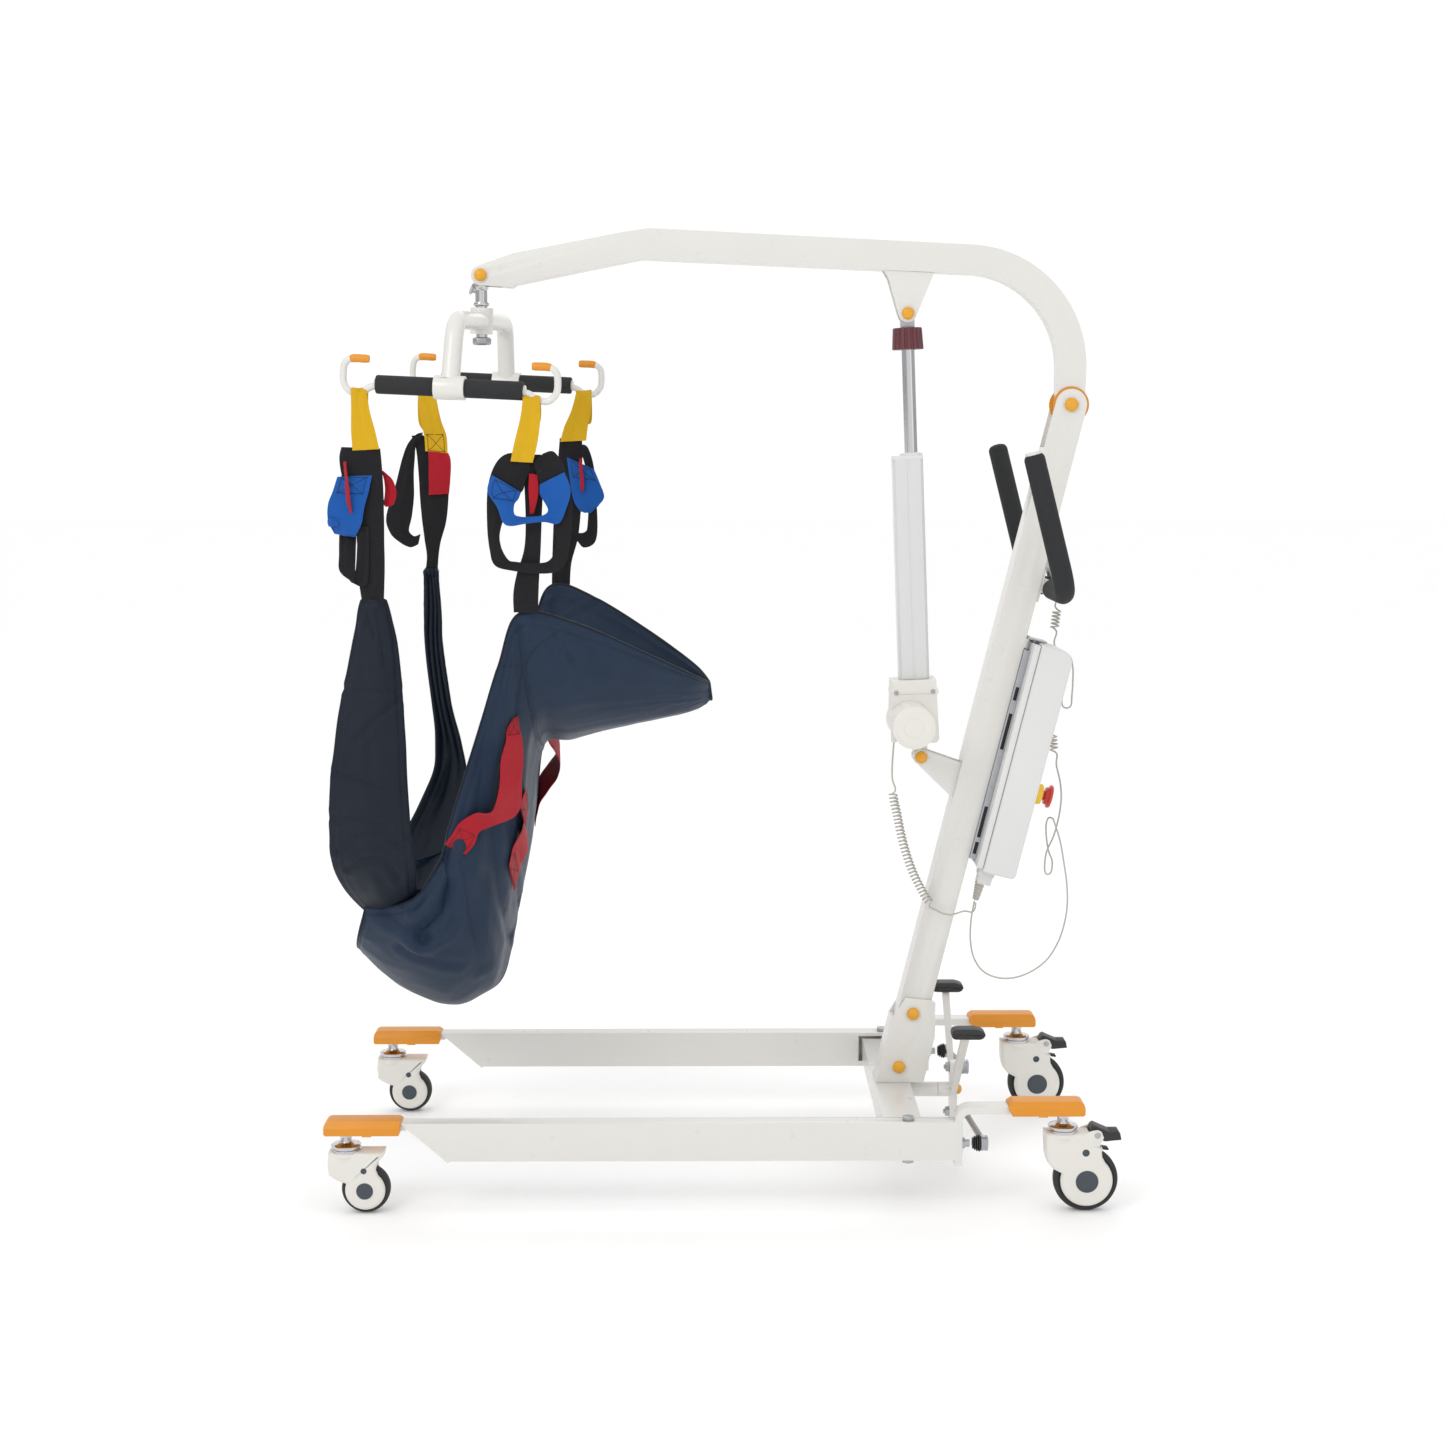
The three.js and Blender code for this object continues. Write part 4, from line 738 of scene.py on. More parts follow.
def add_caster(side, s, end, spec, cover, hub_r, bolt, bolt_r):
    body = f"{side}_{end}_caster"
    y = s * TRACK
    hub = at(spec["stem"] + spec["trail"], y, spec["r"])
    pivot = at(spec["stem"], y, 0)
    case = bmesh.new()
    pillow(case, cover, 19.5, 6.5)
    shell = make(body + "_cover", case, SHELL, hub, angle=50)
    slot = bmesh.new()
    slot_r = spec["r"] + 2.6
    lathe(slot, [(0, -12.4), (slot_r, -12.4), (slot_r, 12.4), (0, 12.4)], 48, facing(0, 0, 0, 1))
    carve(shell, slot, hub)
    settle(shell, body, (f"{side}_{end}_caster_fork",))

    z = spec["race"]
    piece(body + "_collar", SHELL, body, "cream_plastic",
          (lathe, [(0, z - 9), (21.5, z - 9), (22.3, z - 7), (22.3, z - 1.2), (0, z - 1.2)], 44), place=pivot)
    race = [(0, z - 1), (22.6, z - 1), (23.3, z), (23.3, z + 2.6), (22.4, z + 3.4), (21.2, z + 3.8),
            (21.2, z + 5), (22.8, z + 5.6), (23.1, z + 6.4), (23.1, z + 8.6), (22, z + 9.6), (16, z + 10.6),
            (12.2, z + 11.2), (10.4, z + 12.6), (9, z + 15), (9, spec["top"]), (0, spec["top"])]
    piece(body + "_race", CHROME, body, "chrome", (lathe, race, 44), place=pivot)

    marks = bmesh.new()
    for f in (-1, 1):
        lathe(marks, [(0, 19.3), (hub_r, 19.3), (hub_r, 19.9), (hub_r - 0.8, 20.5), (hub_r * 0.6, 20.8),
                      (0, 20.9)], 44, facing(0, 0, 0, f))
        lathe(marks, [(0, 19.3), (bolt_r, 19.3), (bolt_r, 19.8), (bolt_r - 0.7, 20.2), (0, 20.3)], 28,
              facing(bolt[0], 0, bolt[1], f))
    lathe(marks, [(0, -15), (5, -15), (5, 15), (0, 15)], 20, facing(0, 0, 0, 1))
    settle(make(body + "_hub_caps", marks, SLATE, hub), body)

    wheel_body = f"{side}_{end}_wheel"
    r = spec["r"]
    tread = [(r - 11, -8.5), (r - 7, -10.8), (r - 4, -11), (r - 1.6, -9.4), (r - 0.4, -6), (r, -2.6),
             (r, 2.6), (r - 0.4, 6), (r - 1.6, 9.4), (r - 4, 11), (r - 7, 10.8), (r - 11, 8.5)]
    piece(wheel_body + "_tyre", TYRE, wheel_body, "tyre",
          (hollow_lathe, tread, 80, facing(0, 0, 0, 1)), place=hub, replaces=(wheel_body,))
    piece(wheel_body + "_rim", SHELL, wheel_body, "tyre",
          (hollow_lathe, [(5.6, -11), (9, -11), (9.5, -7), (r - 13, -5), (r - 10.8, -8.3),
              (r - 10.8, 8.3), (r - 13, 5), (9.5, 7), (9, 11), (5.6, 11)], 60, facing(0, 0, 0, 1)),
          place=hub)


def add_brake(side, s):
    body = f"{side}_rear_caster"
    hub = at(REAR_CASTER["stem"] + REAR_CASTER["trail"], s * TRACK, REAR_CASTER["r"])
    outline = [(-7, 75.5), (-2, 56), (18, 55), (25, 69.5), (21, 79), (15, 81.5), (8, 80.5)]
    piece(body + "_cheeks", SHELL, body, "cream_plastic",
          (prism, outline, -19.2, -15.6), (prism, outline, 15.6, 19.2), place=hub, bevel=1.2)
    piece(body + "_brake_pin", ZINC, body, "zinc",
          *[(lathe, [(0, 0), (3, 0), (3, 19.2), (4.8, 19.3), (4.8, 20), (3.6, 21), (0, 21.3)], 24,
              facing(15, 0, 73.5, f)) for f in (-1, 1)],
          place=hub)
    piece(body + "_release_tab", BLACK, body, "black_rubber",
          (prism, [(22, 47.6), (33, 45.8), (35.4, 47), (33.6, 49.4), (23, 51)], -7, 7),
          place=hub, bevel=0.9)
    pedal = bmesh.new()
    shape = [(5.5, 72.8), (4.6, 80), (7.5, 85), (11.4, 87.3), (22, 82.4), (34.5, 77), (48.6, 77),
             (50.6, 75.6), (52.8, 64.6), (40, 63.5), (27, 62.2), (20.5, 65), (12.5, 66.8)]
    prism(pedal, shape, -14.6, 14.6)
    obj = make(f"{side}_brake_lever", pedal, BLACK, hub, bevel=1.6)
    hole = bmesh.new()
    lathe(hole, [(0, -20), (3.5, -20), (3.5, 20), (0, 20)], 24, facing(15, 0, 73.5, 1))
    carve(obj, hole, hub)
    settle(obj, f"{side}_brake_pedal", (f"{side}_brake_pedal",))
    piece(f"{side}_brake_grip", BLACK, f"{side}_brake_pedal", "black_rubber",
          *[(block, x, x + 1.3, -12.5, 12.5, 76.4, 77.9) for x in (35.5, 38.5, 41.5, 44.5, 47.5)],
          place=hub, bevel=0.4)


def add_casters():
    for side, s in SIDES:
        add_caster(side, s, "front", FRONT_CASTER, FRONT_COVER, 13, (-1, 32), 4.6)
        add_caster(side, s, "rear", REAR_CASTER, REAR_COVER, 17.5, (-2.5, 45.8), 5.6)
        add_brake(side, s)


# ---- Leg spreader -------------------------------------------------------------------------------------
BELLOWS = [
    (6, 0), (8.8, 0.5), (9.0, 1.6), (7.2, 2.4), (10.8, 3.4), (11.0, 4.6), (8.6, 5.6), (12.4, 6.6),
    (12.6, 8), (10.2, 9), (13, 10), (13, 12), (6, 12.4),
]


def ball_barrel(bm, place):
    """The steel eye of a tie rod, with its two rims."""
    lathe(bm, [(0, 0), (10.6, 0), (12, 0.9), (12, 3.4), (11.4, 3.9), (11.4, 7.2), (12, 7.7), (12, 10.4),
               (10.8, 11.4), (7.4, 11.4), (6.6, 10.2), (0, 10.2)], 40, place)


def add_spreader():
    def is_pad(c):
        return c.z > 240 and abs(c.y) > 133

    def is_stud(c):
        return abs(c.z - PEDAL_AXIS_Z) > 26 and abs(c.y) < 10 and (c.x < 376.8 or c.x > 389.3)

    def is_cap(c):
        return abs(c.z - PEDAL_AXIS_Z) < 12 and c.x > 389.3

    rounded_copy("leg_spreader_pedal", PAINT, "pedal", 1.0,
                 drop=lambda c: is_pad(c) or is_stud(c) or is_cap(c))
    shape = [(362, 246), (366, 243), (408, 242.6), (413.5, 246), (415.8, 251), (412, 256.5), (401, 260),
             (372, 260), (364, 258), (361.8, 253)]
    piece("spreader_pads", BLACK, "pedal", "black_rubber",
          *[(pillow, rounded_outline(shape, 4, 3), 16.5, 6, 6, at(0, s * 151, 0)) for s in (-1, 1)], angle=50)
    studs, boots = bmesh.new(), bmesh.new()
    for s in (-1, 1):
        z = PEDAL_AXIS_Z + s * PEDAL_STUD
        lathe(studs, [(0, 0), (4, 0), (4, 3), (7.6, 3), (8.2, 3.8), (8.2, 8.6), (9.4, 8.8), (9.4, 10),
                      (0, 10)], 6, looking_rear(367.4, 0, z))
        lathe(boots, [(0, 0), (8.6, 0), (9.2, 1.2), (7.8, 2.4), (8.6, 3.6), (7.4, 4.6), (0, 4.6)], 32,
              looking_rear(389.1, 0, z))
    settle(make("spreader_nuts", studs, ZINC, angle=25), "pedal")
    settle(make("spreader_boots", boots, BLACK), "pedal")
    piece("spreader_cap", DOME, "pedal", "orange_plastic",
          (lathe, [(0, 0), (8.5, 0), (8.5, 2), (7.6, 5), (5.2, 7.6), (0, 8.8)], 32,
              looking_rear(389.1, 0, PEDAL_AXIS_Z)))
    for side, s in SIDES:
        body = f"{side}_tie_rod"
        outer = Vector((TIE_X + 1.6, s * TRACK, 106))
        inner = Vector((TIE_X + 1.6, 0, PEDAL_AXIS_Z + s * PEDAL_STUD))
        metal = bmesh.new()
        for end in (outer, inner):
            ball_barrel(metal, looking_rear(396.6, end.y, end.z))
        along = (inner - outer).normalized()
        sweep(metal, [outer + along * 9, outer + along * 40], 6.4, 6)
        sweep(metal, [inner - along * 40, inner - along * 9], 6.4, 6)
        settle(make(body + "_ends", metal, ZINC, angle=30), body, (body,))
        piece(body + "_bar", STEEL, body, "zinc",
              (sweep, [outer + along * 36, inner - along * 36], 4.9, 20))
        piece(body + "_boot", BLACK, body, "black_rubber",
              (lathe, [(0, 0)] + BELLOWS + [(0, 12.4)], 36, looking_rear(383.9, outer.y, outer.z)))


# ---- Push handle grips, handset, control box -------------------------------------------------------------
def rounded_corner(points, radius, steps=10):
    line = [points[0]]
    for before, corner, after in zip(points, points[1:], points[2:]):
        a = corner.lerp(before, radius / (before - corner).length)
        b = corner.lerp(after, radius / (after - corner).length)
        for i in range(steps + 1):
            t = i / steps
            line.append(a * (1 - t) ** 2 + corner * (2 * t * (1 - t)) + b * t * t)
    line.append(points[-1])
    return line


def dense(line, step):
    points = []
    for a, b in zip(line, line[1:]):
        count = max(1, int((b - a).length / step))
        points += [a.lerp(b, i / count) for i in range(count)]
    return points + [line[-1]]


def add_grips():
    for side, s in SIDES:
        corner = HANDLE + Vector((0, s * 200, 0))
        top = corner + HANDLE_SLOPE * (223 if s < 0 else 235)
        inner = Vector((HANDLE.x, s * 45, HANDLE.z))
        line = dense(rounded_corner([top, corner, inner], 45), 1.8)
        total = length_of(line)

        def radius(t):
            near_end = min(t, 1 - t) * total
            round_off = 11.0
            if near_end >= round_off:
                return 16.0
            return 16.0 - round_off * (1 - math.sqrt(max(0.0, 1 - (1 - near_end / round_off) ** 2)))

        piece(f"{side}_grip_foam", FOAM, "chassis", "black_foam",
              (sweep, line, radius, 32),
              replaces=(f"{side}_grip",), angle=50)


def add_handset():
    outline = [(18, -8), (42, -8), (43, 20), (43, 60), (41, 132), (19, 132), (17, 60), (17, 20)]
    piece("handset_body", WHITE, "chassis", "white_plastic",
          (prism, outline, -29, 29), place=HANDSET, replaces=("handset",), bevel=5, segments=4)
    piece("handset_hook", WHITE, "chassis", "white_plastic",
          (prism, [(-23, -8), (-18, -8), (-17.4, 15), (-14, 17.6), (18, 17.6), (18, 22), (-20, 22),
              (-23, 19)], -9, 9),
          place=HANDSET, bevel=1.2)
    piece("handset_panel", SLATE, "chassis", "white_plastic",
          (prism, [(42.4, 28), (42.4, 62), (41.6, 118), (41.0, 118), (41.0, 28)], -21, 21),
          place=HANDSET, bevel=0.4)
    keys = bmesh.new()
    for row in range(2):
        for column in (-1, 1):
            z = 48 + 38 * row
            block(keys, 41.4, 43.4 - 0.4 * row, *sorted((column * 3, column * 17)), z - 9, z + 9)
    settle(make("handset_keys", keys, WHITE, HANDSET, bevel=0.9), "chassis")
    piece("handset_relief", CORD_GREY, "chassis", "grey_cord",
          (lathe, [(0, -16), (3.2, -16), (3.8, -13), (3.4, -12.4), (4.4, -10), (4, -9.4), (5.4, -7.6),
              (0, -7.6)], 24, HANDSET @ at(30, 0, 0)))


def add_control_box():
    rounded_copy("control_box_rail", ZINC, "chassis", 0.5)
    x0, x1, z0, z1, half = BOX_X0, BOX_X1, BOX_Z0, BOX_Z1, BOX_HALF
    outline = [(x0 + 11, z0), (x1 - 3, z0), (x1, z0 + 5), (x1, z1 - 16), (x1 - 6, z1 - 7), (x1 - 14, z1 - 3),
               (x0 + 11, z1)]
    piece("control_box_case", WHITE, "chassis", "white_plastic",
          (prism, outline, -half, half), place=MAST, replaces=("control_box",), bevel=3.6, segments=4)
    piece("control_box_back", WHITE, "chassis", "white_plastic",
          (block, x0, x0 + 10.4, -half + 3, half - 3, z0 + 5, z1 - 3),
          place=MAST, bevel=1.6)
    # A dark sheet in the parting line between case and back: painted shade.
    piece("control_box_seam_shade", DARK_THREAD_AND_GAP_SHADE, "chassis", "white_plastic",
          (block, x0 + 10.2, x0 + 11.6, -half + 4.5, half - 4.5, z0 + 7, z1 - 5),
          place=MAST, bevel=0.3)
    latch = bmesh.new()
    for y0, y1 in ((-40, -22), (22, 40)):
        block(latch, x0 + 3, x0 + 9, y0, y1, z1 - 4, z1 - 0.6)
        block(latch, x0 + 3, x0 + 9, y0, y1, z0 + 2.4, z0 + 6)
    settle(make("control_box_latches", latch, SLATE, MAST, bevel=0.8), "chassis")
    piece("control_box_plug", WHITE, "chassis", "white_plastic",
          (prism, [(48, z0 + 1), (48, z0 - 12), (50, z0 - 14), (50, z0 - 27), (73, z0 - 27),
              (73, z0 - 14), (75, z0 - 12), (75, z0 + 1)], -14, 14),
          place=MAST, bevel=1.6)
    relief = [(0, z0 - 26.6), (8.6, z0 - 26.6)]
    for i in range(6):
        z = z0 - 29 - 4.6 * i
        r = 8.2 - 0.42 * i
        relief += [(r, z), (r - 1.1, z - 0.6), (r - 1.1, z - 2.2), (r - 0.2, z - 2.8)]
    relief += [(3.4, z0 - 56.6), (0, z0 - 56.6)]
    piece("control_box_relief", CORD_GREY, "chassis", "grey_cord", (lathe, relief, 28, MAST @ at(57, 0, 0)))
    # Dark plates standing in the rail's slots: painted shade in the hollows.
    slots = bmesh.new()
    for low, high in ((-736, -716), (-708, -656), (-560, -500), (-478, -456)):
        block(slots, 27.8, 33.6, -30.25, -29.4, low, high)
        block(slots, 27.8, 33.6, 29.4, 30.25, low, high)
    settle(make("control_box_rail_slot_shade", slots, DARK_THREAD_AND_GAP_SHADE, MAST, bevel=0.2), "chassis")
    piece("control_box_clip", ZINC, "chassis", "zinc",
          (prism, [(27, -372), (27, -377.4), (38, -377.4), (60, -377.4), (60, -374.6), (31, -374.6),
              (31, -372)], -22, 22),
          place=MAST, bevel=0.5)
    piece("emergency_stop_ring", YELLOW_RING, "chassis", "white_plastic",
          (hollow_lathe, [(9.2, -1), (16.4, -1), (17, 0), (17, 14.4), (15.8, 16.6), (9.2, 17)], 48,
              looking_rear(x1, 0, ESTOP_Z, MAST)))
    piece("emergency_stop_knob", RED, "emergency_stop", "red_plastic",
          (lathe, [(0, -3), (8, -3), (8, 21.4), (13.2, 21.6), (14, 22.6), (15.2, 27), (18, 27.4),
              (19, 28.4), (19, 31), (18, 32.6), (14, 33.4), (13, 32.8), (0, 33)], 56,
              looking_rear(x1, 0, ESTOP_Z, MAST)),
          replaces=("emergency_stop_button",))


# ---- Actuator and hanger -------------------------------------------------------------------------------
def add_actuator():
    rounded_copy("actuator_gearbox", SHELL, "actuator", 2.2, 4)
    piece("actuator_motor_can", SHELL, "actuator", "cream_plastic",
          (lathe, [(0, 109), (14, 109), (15.4, 110.6), (16.4, 110.2), (17, 103.4), (21.4, 103.4),
              (22, 110), (30.5, 110.6), (33, 109), (34.2, 106), (34.4, 96), (33.9, 95), (34.4, 94),
              (34.4, 31), (0, 31)], 64, facing(-17.7, 0, 60.2, -1, ACTUATOR)))
    piece("actuator_clamp", SHELL, "actuator", "cream_plastic",
          (prism, [(-46, 104), (30, 104), (30, 112), (-46, 112)], -31.2, 31.2),
          place=ACTUATOR, bevel=1.6)
    piece("actuator_screws", ZINC, "actuator", "zinc",
          *[(lathe, [(0, 0), (3.6, 0), (3.8, 0.6), (3.2, 2), (1.7, 2.2), (1.5, 1), (0, 1)], 20,
              facing(x, -31, 108, -1, ACTUATOR)) for x in (-38, 21)])

    tube = bmesh.new()
    z0, z1 = 127.4, 480
    outline = [(-31, -14), (-27, -19.6), (-9, -20), (-8.2, -19), (-5.2, -19), (-4.4, -20), (13, -19.6),
               (17.6, -14)]
    outline += [(x, -y) for x, y in outline[::-1]]
    low = [tube.verts.new((x, y, z0)) for x, y in outline]
    high = [tube.verts.new((x, y, z1)) for x, y in outline]
    tube.faces.new(low[::-1])
    tube.faces.new(high)
    bridge(tube, [low, high])
    settle(make("actuator_housing", tube, ANODISED, ACTUATOR, bevel=1.4), "actuator",
           ("actuator_tube",))
    piece("actuator_end_cap", WHITE, "actuator", "white_plastic",
          (block, -31, 17.7, -20, 20, z1 - 1, 486),
          place=ACTUATOR, bevel=2.0)
    piece("actuator_wiper", WHITE, "actuator", "white_plastic",
          (lathe, [(0, 486), (18.5, 486), (18, 488.4), (15, 490.4), (0, 490.4)], 36, ACTUATOR))

    piece("actuator_rod_bar", CHROME, "actuator_rod", "chrome",
          (lathe, [(0, 290), (10.5, 290), (10.5, ACTUATOR_LENGTH - 30), (0, ACTUATOR_LENGTH - 30)], 48,
              ACTUATOR),
          replaces=("actuator_rod",))
    top = ACTUATOR_LENGTH
    outline = [(-10.6, top - 24), (10.6, top - 24), (10.8, top)] + arc(0, top, 10.8, 0, 180, 16)[1:]
    piece("actuator_rod_eye", ZINC, "actuator_rod", "chrome",
          (prism, outline, -12.4, 12.4), place=ACTUATOR, bevel=1.0)
    collar = bmesh.new()
    teeth = [0.0 if math.sin(2 * math.pi * i / 120 * 15) > -0.2 else -1.8 for i in range(120)]
    rings = []
    for level, r, ribbed in (
        (0, 24.6, 1), (1.2, 25, 1), (33, 23.2, 1), (34, 22.4, 1), (34, 12, 0), (0, 11, 0),
    ):
        ring = []
        for i, tooth in enumerate(teeth):
            turn = 2 * math.pi * i / 120
            out = r + tooth * ribbed
            ring.append(collar.verts.new((out * math.cos(turn), out * math.sin(turn), top - 56 + level)))
        rings.append(ring)
    bridge(collar, rings, closed=True)
    settle(make("release_collar_ribs", collar, MAROON, ACTUATOR, angle=30), "actuator_rod",
           ("release_collar",))


def add_hanger():
    outline = [(BOOM_TIP.x + 10.6, BOOM_TIP.z - 14)] + arc(BOOM_TIP.x, BOOM_TIP.z, 10.8, -10, 190, 18)
    outline += [(BOOM_TIP.x - 10.6, BOOM_TIP.z - 14)]
    piece("hanger_eye", CHROME, "hanger", "chrome",
          (prism, outline, -11, 11), replaces=("hanger_pin",), bevel=1.4)
    piece("hanger_stem", CHROME, "hanger", "chrome",
          (lathe, [(0, 1333), (9, 1333), (9, 1391), (9.2, 1393), (12, 1394), (12.4, 1395), (12.4, 1398),
              (11.6, 1399.4), (9.6, 1400), (9.6, 1418), (11.4, 1420), (12.2, 1424), (11.4, 1430),
              (0, 1430)], 40, at(HUB.x, 0, 0)))
    piece("hanger_nut", ZINC, "hanger", "chrome",
          (lathe, [(0, 1333), (12.6, 1333), (14.8, 1334.6), (14.8, 1343), (12.8, 1344.6), (0, 1344.6)],
              6, at(HUB.x, 0, 0)),
          bevel=0.4, angle=25)
    piece("hanger_button", CHROME, "hanger", "chrome",
          (lathe, [(0, 0), (8.6, 0), (9.2, 1), (8.8, 3.4), (6, 4.8), (4.4, 9), (0, 9)], 32,
              at(-398, 0, 1421) @ Matrix.Rotation(math.radians(112), 4, "Y")))


def hook_line(d, s):
    along = [(-14, 0), (8, -4), (22, -12), (38, -13), (49, -2), (51, 14), (48, 30), (40, 36), (12, 37)]
    return flow([(d * (CRADLE_BAR + x), s * CRADLE_HALF, CRADLE_BAR_Z + z) for x, z in along], 6)


def add_cradle_bars():
    for side, s in SIDES:
        foam, wire, tips, plugs = bmesh.new(), bmesh.new(), bmesh.new(), bmesh.new()
        y, z, end = s * CRADLE_HALF, CRADLE_BAR_Z, CRADLE_BAR
        for d in (-1, 1):
            place = CRADLE @ at(0, y, z) @ Matrix.Rotation(math.radians(90 * d), 4, "Y")
            lathe(foam, [(8.6, 23.4), (13.4, 23.4), (14, 24.6), (14, end - 1.6), (13.2, end), (8.6, end)],
                  40, place, closed=True)
            lathe(plugs, [(0, end - 6), (8.5, end - 6), (8.5, end + 2.4), (7.6, end + 3.2), (0, end + 3.2)],
                  28, place)
            line = hook_line(d, s)
            sweep(wire, line[:-5], 5.3, 18, CRADLE)
            sweep(tips, line[-7:], lambda t: 6.2 if 0.06 < t < 0.94 else 5.4, 20, CRADLE)
        name = f"cradle_bar_{side}"
        settle(make(name + "_foam", foam, FOAM), "cradle", (name,))
        settle(make(name + "_plugs", plugs, PAINT), "cradle")
        settle(make(name + "_hooks", wire, PAINT, angle=60), "cradle")
        settle(make(name + "_tips", tips, ORANGE, angle=60), "cradle")


# ---- Sling ------------------------------------------------------------------------------------------
# The body hangs as a trough. Each list runs from the seat's front to the head: near edge and spine as
# (x, z), and half the width across.
SLING_NEAR = [
    (-560, 455), (-517, 460), (-477, 479), (-450, 515), (-429, 564), (-408, 634), (-373, 743),
    (-341, 843), (-309, 922), (-228, 905), (-127, 855), (-50, 812), (-22, 794),
]
SLING_SPINE = [
    (-590, 363), (-548, 318), (-500, 286), (-440, 266), (-395, 280), (-362, 310), (-343, 400),
    (-315, 540), (-292, 690), (-240, 705), (-134, 729), (-52, 752), (-18, 766),
]
SLING_HALF = [150, 170, 190, 200, 205, 208, 210, 212, 212, 180, 122, 56, 9]
FABRIC, PADDING = 4.0, 2.5
SHARES = [k / 40 for k in range(41)]
BOTH_FACES = (0.35, -0.35)


def smooth(values, t):
    """A Catmull-Rom value of a list of arrays at t from 0 to 1."""
    values = np.asarray(values, dtype=float)
    last = len(values) - 1
    at_ = np.clip(t * last, 0, last - 1e-9)
    i = at_.astype(int)
    f = at_ - i
    f = f.reshape(f.shape + (1,) * (values.ndim - 1))
    p = [values[np.clip(i + k, 0, last)] for k in (-1, 0, 1, 2)]
    return p[1] + 0.5 * f * (p[2] - p[0] + f * (2 * p[0] - 5 * p[1] + 4 * p[2] - p[3]
                                                 + f * (3 * (p[1] - p[2]) + p[3] - p[0])))


def unit_normals(grid):
    normal = np.cross(np.gradient(grid, axis=0), np.gradient(grid, axis=1))
    return normal / np.maximum(np.linalg.norm(normal, axis=2, keepdims=True), 1e-9)


def distance_along(grid, axis):
    """How far each grid point is from the first one of its row or column."""
    steps = np.cumsum(np.linalg.norm(np.diff(grid, axis=axis), axis=2), axis=axis)
    return np.concatenate([np.zeros_like(np.take(steps, [0], axis=axis)), steps], axis=axis)


